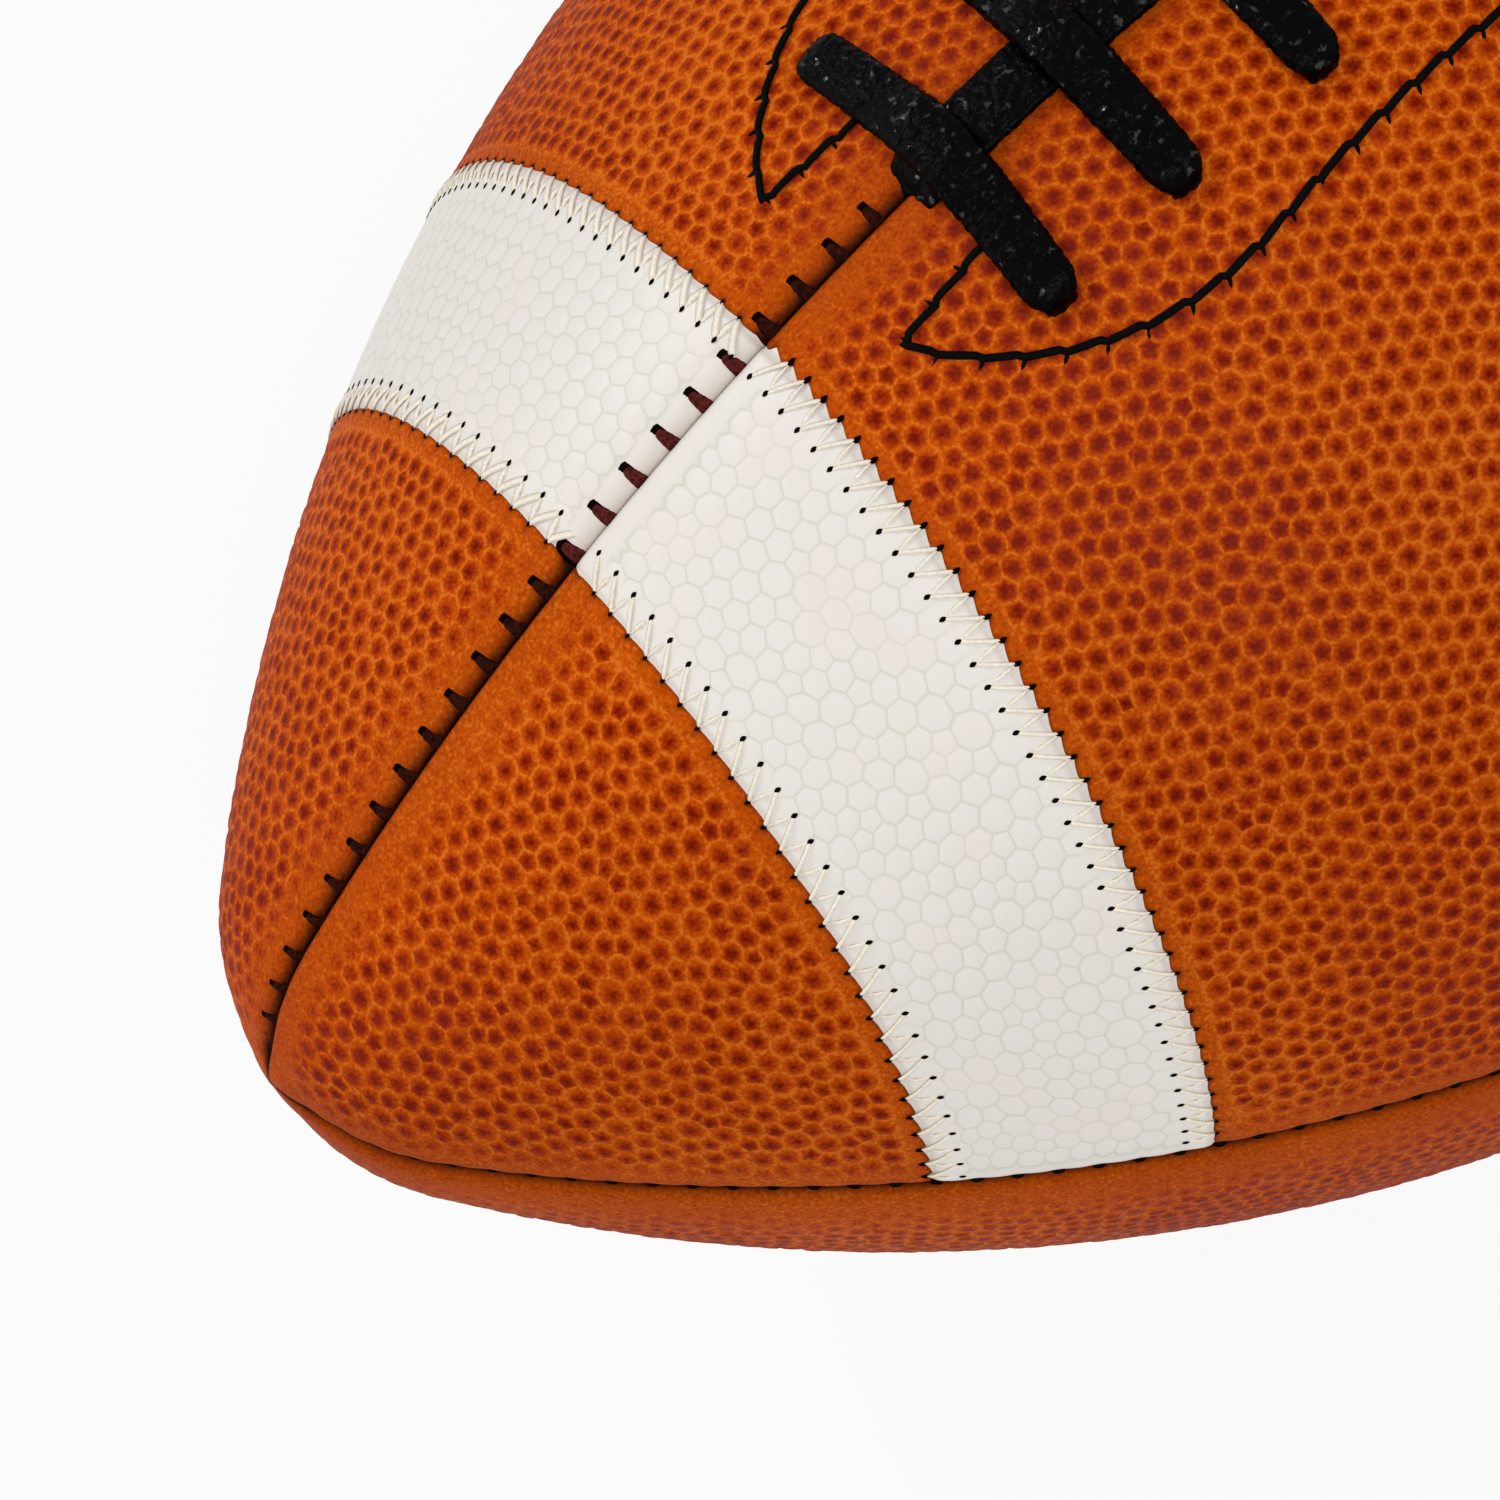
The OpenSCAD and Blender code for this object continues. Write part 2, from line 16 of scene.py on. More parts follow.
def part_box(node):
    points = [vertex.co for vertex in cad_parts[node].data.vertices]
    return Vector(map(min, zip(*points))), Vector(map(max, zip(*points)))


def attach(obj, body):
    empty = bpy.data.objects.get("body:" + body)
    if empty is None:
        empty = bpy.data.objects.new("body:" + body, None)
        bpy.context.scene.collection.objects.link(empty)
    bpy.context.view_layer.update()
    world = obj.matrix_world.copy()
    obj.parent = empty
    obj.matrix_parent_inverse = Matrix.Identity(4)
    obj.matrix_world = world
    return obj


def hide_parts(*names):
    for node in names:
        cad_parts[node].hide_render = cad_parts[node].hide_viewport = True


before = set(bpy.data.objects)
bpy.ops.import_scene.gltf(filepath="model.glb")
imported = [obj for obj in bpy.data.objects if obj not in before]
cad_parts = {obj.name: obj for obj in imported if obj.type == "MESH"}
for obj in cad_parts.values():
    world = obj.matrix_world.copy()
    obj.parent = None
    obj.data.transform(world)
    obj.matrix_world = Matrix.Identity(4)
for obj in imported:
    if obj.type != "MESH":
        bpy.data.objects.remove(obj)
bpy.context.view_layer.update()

MM = 0.001

# %% [markdown]
# The camera comes first, because every later choice is judged through it. Its place was found
# by fitting the ball's outline, stripe and seams to the photograph. A long lens, far away,
# keeps the ball from bulging. The focal length is given in pixels of the photograph and turned
# into millimetres on a sensor 36 mm wide.

# %% Camera
PHOTO_WIDTH_PX = 1500
FOCAL_PX = 4949
SENSOR_MM = 36
CAMERA_PLACE = Vector((-212.0, -225.8, 520.7)) * MM
CAMERA_AIM = Vector((-82.9, -0.1, 85.0)) * MM
CAMERA_ROLL = math.radians(-8.476)


def placed(name, data):
    """A new object in the scene, which shows this data."""
    obj = bpy.data.objects.new(name, data)
    bpy.context.scene.collection.objects.link(obj)
    return obj


camera_data = bpy.data.cameras.new("camera")
camera_data.sensor_fit = "HORIZONTAL"
camera_data.sensor_width = SENSOR_MM
camera_data.lens = FOCAL_PX / PHOTO_WIDTH_PX * SENSOR_MM
camera = placed("camera", camera_data)
facing = (CAMERA_AIM - CAMERA_PLACE).to_track_quat("-Z", "Y")
camera.location = CAMERA_PLACE
camera.rotation_euler = (facing @ Euler((0, 0, CAMERA_ROLL)).to_quaternion()).to_euler()
bpy.context.scene.camera = camera
print("camera: lens", round(camera_data.lens, 1), "mm")

# %% [markdown]
# The ball's long outline is three arcs in each half: a belly, a flank and a blunt tip, each
# running smoothly into the next. Length and radius are read from the frame, so the visual
# model can't drift from it. The radii of belly and flank then follow from two equations.

# %% The ball's outline
BALL_R = -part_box("laced_panel_near")[0].y
HALF_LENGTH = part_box("laced_panel_near")[1].x
TIP_R = 29 * MM
BELLY_SLOPE = math.radians(20)
TIP_SLOPE = math.radians(48)

rise = BALL_R - TIP_R * math.cos(TIP_SLOPE)
reach = HALF_LENGTH - TIP_R * (1 - math.sin(TIP_SLOPE))
belly_rise = 1 - math.cos(BELLY_SLOPE)
flank_rise = math.cos(BELLY_SLOPE) - math.cos(TIP_SLOPE)
belly_reach = math.sin(BELLY_SLOPE)
flank_reach = math.sin(TIP_SLOPE) - math.sin(BELLY_SLOPE)
solve = belly_rise * flank_reach - flank_rise * belly_reach
BELLY_R = (rise * flank_reach - flank_rise * reach) / solve
FLANK_R = (belly_rise * reach - belly_reach * rise) / solve

BELLY_ARC = BELLY_R * BELLY_SLOPE
FLANK_ARC = FLANK_R * (TIP_SLOPE - BELLY_SLOPE)
HALF_ARC = BELLY_ARC + FLANK_ARC + TIP_R * (math.pi / 2 - TIP_SLOPE)
BELLY_CENTRE = (BALL_R - BELLY_R, 0)
FLANK_CENTRE = (
    BELLY_CENTRE[0] + (BELLY_R - FLANK_R) * math.cos(BELLY_SLOPE),
    (BELLY_R - FLANK_R) * math.sin(BELLY_SLOPE),
)
TIP_CENTRE = (0, HALF_LENGTH - TIP_R)
print("leather:", round(4 * HALF_ARC / MM, 1), "mm round the long way")

# %% [markdown]
# Every later piece is placed by two numbers: the distance s along the leather from the middle,
# and the angle round the long axis, from the lacing. Three functions turn them into a point, the
# way out of the leather and the way along it.

# %% Places on the ball
def outline(s):
    """Distance from the axis, place along it, and slope, at distances s along the leather."""
    t = np.abs(np.asarray(s, float))
    on_flank, on_tip = t - BELLY_ARC, t - BELLY_ARC - FLANK_ARC
    zone = [on_tip >= 0, on_flank >= 0]
    slopes = [TIP_SLOPE + on_tip / TIP_R, BELLY_SLOPE + on_flank / FLANK_R]
    slope = np.select(zone, slopes, t / BELLY_R)
    bend = np.select(zone, [TIP_R, FLANK_R], BELLY_R)
    out = np.select(zone, [TIP_CENTRE[0], FLANK_CENTRE[0]], BELLY_CENTRE[0])
    along = np.select(zone, [TIP_CENTRE[1], FLANK_CENTRE[1]], BELLY_CENTRE[1])
    side = np.where(np.asarray(s) < 0, -1.0, 1.0)
    radius = np.maximum(out + bend * np.cos(slope), 0)
    return radius, side * (along + bend * np.sin(slope)), side * slope


def normal_at(s, angle):
    """The direction out of the leather."""
    slope = outline(s)[2]
    return np.stack(
        [np.sin(slope), -np.cos(slope) * np.sin(angle), np.cos(slope) * np.cos(angle)], -1
    )


def forward_at(s, angle):
    """The direction along the leather, towards the tail."""
    slope = outline(s)[2]
    return np.stack(
        [np.cos(slope), np.sin(slope) * np.sin(angle), -np.sin(slope) * np.cos(angle)], -1
    )


def place_at(s, angle, height=0.0):
    """Points on the ball, raised above the leather by height."""
    radius, x, slope = outline(s)
    point = np.stack([x, -radius * np.sin(angle), radius * np.cos(angle) + BALL_R], -1)
    return point + normal_at(s, angle) * np.asarray(height)[..., None]


print("the tip is at", place_at(HALF_ARC, 0.0))

# %% [markdown]
# Materials are written as Python sums. One small class wraps a socket and turns +, - and * into
# Math nodes, and one method adds any other node. The same two classes serve the Geometry Nodes
# trees further down, because both kinds of tree are made of the same nodes and links.

# %% A short way to write node trees
class Wire:
    """One output socket. Python's operators on it add Math nodes."""

    def __init__(self, board, socket):
        self.board = board
        self.socket = socket

    def sum(self, operation, first, second):
        return self.board.add("ShaderNodeMath", {0: first, 1: second}, operation=operation)

    def __add__(self, other):
        return self.sum("ADD", self, other)

    def __radd__(self, other):
        return self.sum("ADD", other, self)

    def __sub__(self, other):
        return self.sum("SUBTRACT", self, other)

    def __rsub__(self, other):
        return self.sum("SUBTRACT", other, self)

    def __mul__(self, other):
        return self.sum("MULTIPLY", self, other)

    def __rmul__(self, other):
        return self.sum("MULTIPLY", other, self)


class Board:
    """A node tree that nodes are added to."""

    def __init__(self, tree):
        self.tree = tree

    def add(self, kind, inputs=None, out=0, stops=None, **settings):
        """Adds a node: its settings first, then the values or links of its sockets."""
        node = self.tree.nodes.new(kind)
        for name, value in settings.items():
            setattr(node, name, value)
        if stops:
            ramp = node.color_ramp.elements
            while len(ramp) < len(stops):
                ramp.new(0.5)
            for element, (place, colour) in zip(ramp, stops):
                element.position = place
                element.color = (*colour, 1)
        for key, value in (inputs or {}).items():
            if isinstance(value, Wire):
                self.tree.links.new(value.socket, node.inputs[key])
            else:
                node.inputs[key].default_value = value
        return Wire(self, node.outputs[out])

    def mix(self, share, first, second):
        """Mixes two colours."""
        colours = [(*c, 1) if isinstance(c, tuple) else c for c in (first, second)]
        return self.add(
            "ShaderNodeMix", {0: share, 6: colours[0], 7: colours[1]}, out=2, data_type="RGBA"
        )

    def spread(self, value, low, high, first=0.0, last=1.0, **settings):
        """Turns the stretch from low to high into the one from first to last."""
        ends = {1: low, 2: high, 3: first, 4: last}
        return self.add("ShaderNodeMapRange", {"Value": value, **ends}, **settings)


# %% [markdown]
# A finish is a colour, a roughness and a grain that a Bump node raises. Its noise reads Object
# coordinates, so that it stays where it is on the piece. Colours are written as a paint program
# gives them and turned into the linear light that Blender takes.

# %% What every finish needs
def rgb(red, green, blue):
    """A colour from 0 to 255 as linear light."""
    shares = [c / 255 for c in (red, green, blue)]
    return tuple(c / 12.92 if c <= 0.04045 else ((c + 0.055) / 1.055) ** 2.4 for c in shares)


def new_material(name, **sockets):
    """A material with its plain values set, its board and its shader."""
    material = bpy.data.materials.new(name)
    material.use_nodes = True
    shader = material.node_tree.nodes["Principled BSDF"]
    for key, value in sockets.items():
        shader.inputs[key.replace("_", " ")].default_value = value
    return material, Board(material.node_tree), shader


def noise(board, scale, detail):
    place = board.add("ShaderNodeTexCoord", out="Object")
    return board.add("ShaderNodeTexNoise", {"Vector": place, "Scale": scale, "Detail": detail})


def painted(board, name):
    """A number that every point of the mesh carries."""
    return board.add("ShaderNodeAttribute", out="Fac", attribute_name=name)


def plug(board, wire, shader, name):
    board.tree.links.new(wire.socket, shader.inputs[name])


def finish(board, shader, colour, roughness, grain, strength, depth):
    """Plugs in a colour and a roughness, and raises the grain."""
    bump = board.add("ShaderNodeBump", {"Height": grain, "Strength": strength, "Distance": depth})
    for name, wire in (("Base Color", colour), ("Roughness", roughness), ("Normal", bump)):
        plug(board, wire, shader, name)


print("mid grey as linear light:", round(rgb(128, 128, 128)[0], 3))

# %% [markdown]
# Tanned football leather is darker on top of each pebble and lighter in the grooves, because
# the dye is rubbed over the raised grain. The mesh carries that as an attribute: pebble is 1 on
# top and 0 in the groove. A fine noise breaks it up, a broad one shifts the tan over the hide,
# and the attribute stain mixes in painted shade: in the seams, the cuts and the bites,
# round each stitch and over the near panels, with a faint darkening along each seam. Where the
# broad noise is high, the pebble tops take a painted sheen, a mauve tint in place of a reflection.

# %% Leather of the panels
TAN_DYES = [
    (0.0, rgb(214, 106, 24)), (0.12, rgb(197, 84, 6)), (0.34, rgb(180, 68, 3)),
    (0.6, rgb(152, 44, 2)), (0.95, rgb(110, 19, 1)),
]
TAN_PAINTED_SHEEN = rgb(144, 50, 40)
TAN_STAIN_AND_SHADE = rgb(34, 6, 2)


def panel_leather():
    material, board, shader = new_material("tan_leather", Specular_IOR_Level=0.02)
    pebble, tone, stain = (painted(board, name) for name in ("pebble", "tone", "stain"))
    fine, broad = noise(board, 2400, 2), noise(board, 26, 4)
    strength = pebble * (tone * 0.3 + 0.85)
    height = strength + (fine - 0.5) + (broad - 0.5) * 0.45
    colour = board.add("ShaderNodeValToRGB", {"Fac": height}, stops=TAN_DYES)
    # Painted sheen: a mauve tint on the pebble tops, in place of a reflection, where the broad
    # noise is high.
    painted_sheen = board.spread(broad, 0.5, 0.72, 0.0, 0.4)
    colour = board.mix(painted_sheen * pebble, colour, TAN_PAINTED_SHEEN)
    # Painted shade of seams, cuts, bites and near panels, and a faint seam darkening.
    colour = board.mix(stain, colour, TAN_STAIN_AND_SHADE)
    roughness = 0.55 - strength * 0.1 + (fine - 0.5) * 0.2
    finish(board, shader, colour, roughness, fine, 0.5, 0.15 * MM)
    return material


TAN = panel_leather()
print(TAN.name, len(TAN.node_tree.nodes), "nodes")

# %% [markdown]
# The stripes are white leather with larger, flatter cobbles, whose grooves are a little greyer.
# A broad noise gives it a faint blush here and there.

# %% White leather of the stripes
WHITE_DYES = [(0.0, rgb(208, 206, 193)), (0.4, rgb(224, 220, 211)), (1.0, rgb(229, 224, 217))]
WHITE_BLUSH = rgb(231, 221, 213)
WHITE_STAIN_AND_SHADE = rgb(150, 120, 95)


def stripe_leather():
    material, board, shader = new_material("white_leather", Specular_IOR_Level=0.3)
    pebble, stain = painted(board, "pebble"), painted(board, "stain")
    fine, broad = noise(board, 1500, 3), noise(board, 160, 2)
    height = pebble + (fine - 0.5) * 0.15
    colour = board.add("ShaderNodeValToRGB", {"Fac": height}, stops=WHITE_DYES)
    colour = board.mix(board.spread(broad, 0.5, 0.75, 0.0, 0.5), colour, WHITE_BLUSH)
    # Painted shade of the seam valley, the stitches and the stripe's edges under the tan teeth.
    colour = board.mix(stain, colour, WHITE_STAIN_AND_SHADE)
    finish(board, shader, colour, 0.42 + (fine - 0.5) * 0.15, fine, 0.2, 0.1 * MM)
    return material


WHITE = stripe_leather()
print(WHITE.name, len(WHITE.node_tree.nodes), "nodes")

# %% [markdown]
# Threads and rubber share one recipe: a colour broken up by noise at the scale of the fibre or
# grain, which is also raised a little. The dark ones have hardly any specular, because the pale
# room would veil them in grey.

# %% Threads and rubber
def grained(name, dark, light, grain, roughness, depth=0.05 * MM, **sockets):
    material, board, shader = new_material(name, **sockets)
    fibre = noise(board, grain, 4)
    colour = board.mix(board.spread(fibre, 0.3, 0.7), dark, light)
    finish(board, shader, colour, roughness + (fibre - 0.5) * 0.2, fibre, 0.5, depth)
    return material


CREAM = grained("cream_thread", rgb(228, 214, 190), rgb(245, 240, 230), 4000, 0.55)
BLACK_THREAD = grained("black_thread", rgb(1, 1, 1), rgb(9, 8, 8), 4000, 0.6,
                       Specular_IOR_Level=0.03)
BROWN_THREAD = grained("brown_thread", rgb(44, 10, 10), rgb(100, 40, 36), 2600, 0.6,
                       Specular_IOR_Level=0.03)
# The brown thread painted darker, as painted shade, for the top seam's stitches on the tan.
SHADED_THREAD = grained("shaded_thread", rgb(14, 5, 3), rgb(58, 22, 12), 2600, 0.7,
                        Specular_IOR_Level=0.02)
# Painted shade of the needle holes, slits and bites, laid on as small dark beads.
HOLE_SHADE = grained("needle_hole", rgb(5, 3, 2), rgb(20, 9, 6), 3000, 0.9, Specular_IOR_Level=0.0)
RUBBER = grained("black_rubber", rgb(26, 25, 25), rgb(40, 39, 38), 500, 0.6, 0.1 * MM)
print("threads and rubber: 6 finishes")

# %% [markdown]
# The lace is black leather too, but waxed. It is dull in its creases, and only the highest
# ridges of its grain shine, so a clear coat is laid on those alone. One coat all over would turn
# the whole strap grey.

# %% Waxed leather of the lace
def lace_leather():
    material, board, shader = new_material(
        "black_lace", Specular_IOR_Level=0.03, Coat_Roughness=0.16
    )
    ridge = noise(board, 900, 3)
    gloss = board.spread(ridge, 0.63, 0.72)
    plug(board, gloss, shader, "Coat Weight")
    colour = board.mix(ridge, rgb(0, 0, 0), rgb(4, 4, 5))
    finish(board, shader, colour, 0.3 - gloss * 0.2, ridge, 0.7, 0.5 * MM)
    return material


LACE = lace_leather()
print(LACE.name, len(LACE.node_tree.nodes), "nodes")

# %% [markdown]
# The cloth inside is plain weave. Two crossed waves stand for the warp and the weft, one wave to
# each thread, and give both the colour and the relief.

# %% Cloth of the linings and patches
WAVES_PER_UNIT = 10 / math.pi


def woven(name, dark, light, thread, roughness):
    material, board, shader = new_material(name)
    place = board.add("ShaderNodeTexCoord", out="Object")
    waves = {"Vector": place, "Scale": 1 / (WAVES_PER_UNIT * thread), "Distortion": 0.6}
    warp, weft = (
        board.add("ShaderNodeTexWave", waves, out="Fac", bands_direction=way) for way in "XY"
    )
    weave = (warp + weft) * 0.5
    colour = board.mix(weave, dark, light)
    finish(board, shader, colour, roughness - weave * 0.1, weave, 0.4, 0.2 * MM)
    return material


LINING = woven("lining_cloth", rgb(168, 160, 138), rgb(206, 198, 178), 0.6 * MM, 0.85)
CANVAS = woven("patch_canvas", rgb(112, 100, 80), rgb(146, 132, 108), 0.8 * MM, 0.85)
print("materials:", len(bpy.data.materials))

# %% [markdown]
# Each panel is cut where a stripe is let in, so its leather is a few patches. A few sizes fix
# where everything is: the stripes, the stitches of the seams, the zigzags beside the stripes and
# the holes for the lace. A zigzag takes twelve steps for each stitch, ten of them slowly out to
# the tan leather and two quickly back.

# %% Where stripes, stitches and lace holes are
STRIPE_START = 70 * MM
STRIPE_W = 27 * MM
STRIPE_FAR = HALF_ARC - STRIPE_START
STRIPE_NEAR = STRIPE_FAR - STRIPE_W
CUTS = [-STRIPE_FAR, -STRIPE_NEAR, STRIPE_NEAR, STRIPE_FAR]
SEAM_STITCH = 4.68 * MM
SIDE_STITCH = 4 * MM
BAR_COUNT = 8
BAR_PITCH = 16.2 * MM
LACING_HALF = (BAR_COUNT - 1) / 2 * BAR_PITCH
LACING_END = LACING_HALF + 6 * MM
HOLE_REACH = 17.4 * MM
ZIGZAG_START = 1.5 * MM
ZIGZAG_STEPS = 12
TOOTH_STEP = 10
TOOTH_SHARE = TOOTH_STEP / ZIGZAG_STEPS
ZIGZAG_PITCHES = {STRIPE_NEAR: 2.5 * MM, STRIPE_FAR: 2.75 * MM}
print("stripes:", round(STRIPE_NEAR / MM, 1), "to", round(STRIPE_FAR / MM, 1), "mm from the middle")

# %% [markdown]
# Relief is written as functions of place alone, so the leather, the stripes and the threads all
# agree on where the surface is. They are put together from a few plain curves: a smooth rise, a
# hump, an edge that rolls down, and a hump that comes back at every stitch.

# %% Curves for relief
TIP_FIELD = 5 * MM


def ease(x):
    """Rises smoothly from 0 to 1."""
    x = np.clip(x, 0, 1)
    return x * x * (3 - 2 * x)


def hump(x):
    return np.exp(-x * x)


def roll(distance, width, lean):
    """How far an edge has rolled down, in a band of this width that ends at this lean."""
    share = np.clip(1 - distance / width, 0, 1) * math.sin(lean)
    return width / math.sin(lean) * (1 - np.sqrt(1 - share * share))


def every(s, pitch, width):
    """1 at each stitch and 0 between them."""
    off = (s / pitch - np.floor(s / pitch) - 0.5) * pitch
    return hump(off / width)


def seam_distances(s, angle):
    """Distances from a panel's first seam and from its second, across the leather."""
    radius = np.maximum(outline(s)[0], TIP_FIELD)
    return angle * radius, (math.pi / 2 - angle) * radius


print("halfway up a rise:", ease(0.5), "between stitches:", round(float(every(0, 1, 0.3)), 3))

# %% [markdown]
# Near a seam the leather rolls down into a valley, and each stitch pulls a small pucker into the
# roll. At the lacing the two edges differ: the far one rolls under softly and takes the stitches,
# and the near one ends in a tight roll over it. Painted shade darkens the bottom of each valley,
# and a paler painted shade lies in the pucker at each stitch. A faint darkening runs along each
# seam.

# %% How the leather lies at its seams
SOFT_ROLL = (2.3 * MM, math.radians(62))
TIGHT_ROLL = (1.1 * MM, math.radians(72))
SEAM_EDGES = {
    "soft": {"roll": SOFT_ROLL, "stitch": SEAM_STITCH, "pull": 1.0, "stain": (1.0, 1.2 * MM)},
    "tight": {"roll": TIGHT_ROLL, "stitch": SEAM_STITCH, "pull": 0.15, "stain": (0.5, 0.4 * MM)},
    "plain": {"roll": SOFT_ROLL, "stitch": SIDE_STITCH, "pull": 0.35, "stain": (0.8, 0.7 * MM)},
}
SEAM_DIP = 0.4 * MM
SEAM_DIP_W = 6 * MM
PULL_W = 0.95 * MM
PUCKER_SHADE = 0.35
PUCKER = 0.32 * MM
PUCKER_IN = 1.2 * MM
PUCKER_W = 2.2 * MM
HALO_DARKENING = 0.1
HALO_W = 4 * MM
TIP_FADE = 9 * MM


def seam_form(s, angle, first_edge):
    """How deep the leather lies, and its painted shade and darkening, from its two seams.

    The first edge is soft or tight at the lacing seam. The second one is always plain.
    """
    depth, stain = np.zeros_like(s), np.zeros_like(s)
    for kind, distance in zip((first_edge, "plain"), seam_distances(s, angle)):
        edge = SEAM_EDGES[kind]
        pull = every(s, edge["stitch"], PULL_W) * edge["pull"]
        if kind != "plain":
            pull = np.where(np.abs(s) > LACING_END, pull, 0.0)
        depth += roll(distance, *edge["roll"]) + SEAM_DIP * hump(distance / SEAM_DIP_W)
        depth += PUCKER * pull * hump((distance - PUCKER_IN) / PUCKER_W)
        # A faint darkening along the seam, and painted shade in the pucker at each stitch.
        halo = HALO_DARKENING * hump(distance / HALO_W)
        stain += PUCKER_SHADE * pull * hump(distance / PUCKER_W) + halo
        # Painted shade at the bottom of the valley.
        dark, width = edge["stain"]
        stain += dark * hump(distance / width)
    return depth * ease(outline(s)[0] / TIP_FADE), stain


deep = seam_form(np.array([SEAM_STITCH / 2]), np.zeros(1), "soft")[0][0]
print("valley of the lacing seam:", round(deep / MM, 2), "mm deep")

# %% [markdown]
# Beside a stripe the tan leather is cut. Its edge rolls down a little, and where the zigzag
# thread bites into it there is a dent and a dark hole. The bites also pull the edge into a saw:
# steep at each bite, and slowly out to the next. The teeth are deeper on the near panel, and
# there they change along the cut, as they do in the photograph.

# %% How the leather lies at its cuts
CUT_ROLL = (0.4 * MM, math.radians(80))
CUT_REACH = 1.8 * MM
CUT_SHADE = 0.4
CUT_SHADE_W = 0.4 * MM
BITE_W = 0.5 * MM
BITE_REACH = 1.2 * MM
BITE_DENT = 0.2 * MM
BITE_SHADE = 0.5
NOTCH_SHARE = 0.15
TOUCH = 1e-9
EVEN_TEETH = (0.3 * MM, 0.3 * MM)
TOOTH_DEPTHS = {
    "near": {STRIPE_NEAR: (1.0 * MM, 0.3 * MM), STRIPE_FAR: (0.2 * MM, 0.85 * MM)},
    "far": {STRIPE_NEAR: EVEN_TEETH, STRIPE_FAR: EVEN_TEETH},
}


def along_cut(angle, cut):
    """How far a place is along the zigzag of this cut."""
    return angle * float(outline(cut)[0]) - ZIGZAG_START


def cut_form(s, angle):
    """How deep the tan leather lies, and how much painted shade it takes, from its four cuts."""
    depth, stain = np.zeros_like(s), np.zeros_like(s)
    for cut in CUTS:
        distance = np.abs(s - cut)
        pitch = ZIGZAG_PITCHES[abs(cut)]
        bite = every(along_cut(angle, cut) - (TOOTH_SHARE - 0.5) * pitch, pitch, BITE_W)
        bite = bite * hump(distance / BITE_REACH)
        depth += roll(distance, *CUT_ROLL)
        depth += BITE_DENT * bite
        # Painted shade in each bite, and along the cut edge where it rolls down.
        stain += BITE_SHADE * bite + CUT_SHADE * hump(distance / CUT_SHADE_W)
    return depth, stain


def tooth_depth(side, cut, angle):
    """How deep the saw edge is. It changes evenly from a panel's first seam to its second."""
    first, last = TOOTH_DEPTHS[side][abs(cut)]
    return first + (last - first) * angle / (math.pi / 2)


def straight_edge(s, angle):
    return s


def bitten_edge(side):
    """Moves the tan leather's cut edges into a saw, and what lies beside them by less."""
    def edge(s, angle):
        for cut in CUTS:
            outer = (abs(cut) == STRIPE_FAR) == (cut > 0)
            away = 1 if outer else -1
            distance = (s - cut) * away
            share = np.where(distance >= -TOUCH, np.clip(1 - distance / CUT_REACH, 0, 1), 0)
            turns = along_cut(angle, cut) / ZIGZAG_PITCHES[abs(cut)] - TOOTH_SHARE
            past = turns - np.floor(turns + NOTCH_SHARE / 2) + NOTCH_SHARE / 2
            notch = np.minimum(past / NOTCH_SHARE, (1 - past) / (1 - NOTCH_SHARE))
            s = s + away * tooth_depth(side, cut, angle) * notch * share
        return s
    return edge


print("teeth along a cut:", int(along_cut(math.pi / 2, STRIPE_NEAR) / ZIGZAG_PITCHES[STRIPE_NEAR]))

# %% [markdown]
# The lace goes down through a row of holes on either side of the lacing seam. It draws the
# leather down with it, so each hole sits in a shallow dent.

# %% Dents round the lace holes
HOLE_DENT = 0.8 * MM
HOLE_DENT_W = 3 * MM


def hole_dents(s, angle):
    lateral = seam_distances(s, angle)[0]
    nearest = np.clip(np.round((s + LACING_HALF) / BAR_PITCH), 0, BAR_COUNT - 1)
    off = s - (nearest * BAR_PITCH - LACING_HALF)
    return HOLE_DENT * hump(np.hypot(off, lateral - HOLE_REACH) / HOLE_DENT_W)


print("holes on each side:", BAR_COUNT)

# %% [markdown]
# Pebbles are laid as seeds, one for each, and a Delaunay triangulation joins the seeds. The
# middles of its triangles are then the corners of the pebbles. A flat map is needed for it, and
# Mercator's is the right one: it keeps angles, so round pebbles stay round wherever they are.

# %% A map that keeps angles
MAP_STEPS = np.linspace(-HALF_ARC, HALF_ARC, 4001)
LEAST_RADIUS = 0.5 * MM
widths = np.maximum(outline((MAP_STEPS[1:] + MAP_STEPS[:-1]) / 2)[0], LEAST_RADIUS)
MAP_PLACES = np.concatenate([[0], np.cumsum(np.diff(MAP_STEPS) / widths)])


def to_map(s):
    return np.interp(s, MAP_STEPS, MAP_PLACES)


def from_map(m):
    return np.interp(m, MAP_PLACES, MAP_STEPS)


print("length of the map:", round(MAP_PLACES[-1], 2))

# %% [markdown]
# Two functions lay the seeds. The first joins them inside a closed loop of fixed points. The
# second moves each seed to the middle of its cell. A few rounds of that space them evenly, as
# the grain of real leather is.

# %% Joining and spacing the seeds
BOW = 0.002
NO_AREA = 1e-12


def joined(s, angle, loop_length):
    """Triangles over points whose first ones are a closed loop, none of them outside it.

    The sides of the loop are bowed outwards a little, so that no three of its points lie in
    line, and a triangle that still runs round the wrong way lies outside and is dropped.
    """
    spots = np.stack([to_map(s), angle], -1)
    low, high = spots[:loop_length].min(0), spots[:loop_length].max(0)
    share = (spots[:loop_length] - (low + high) / 2) / ((high - low) / 2)
    spots[:loop_length] += BOW * share * (1 - share[:, ::-1] ** 2)
    loop = [(i, (i + 1) % loop_length) for i in range(loop_length)]
    places = [Vector(spot) for spot in spots]
    _, _, faces, origin, _, _ = delaunay_2d_cdt(places, loop, [], 1, TOUCH, True)
    own = np.array([ids[0] for ids in origin])
    faces = own[np.array(faces)]
    rises = (faces < np.roll(faces, -1, axis=1)).sum(1)
    return faces[(faces.max(1) >= loop_length) | (rises == 2)]


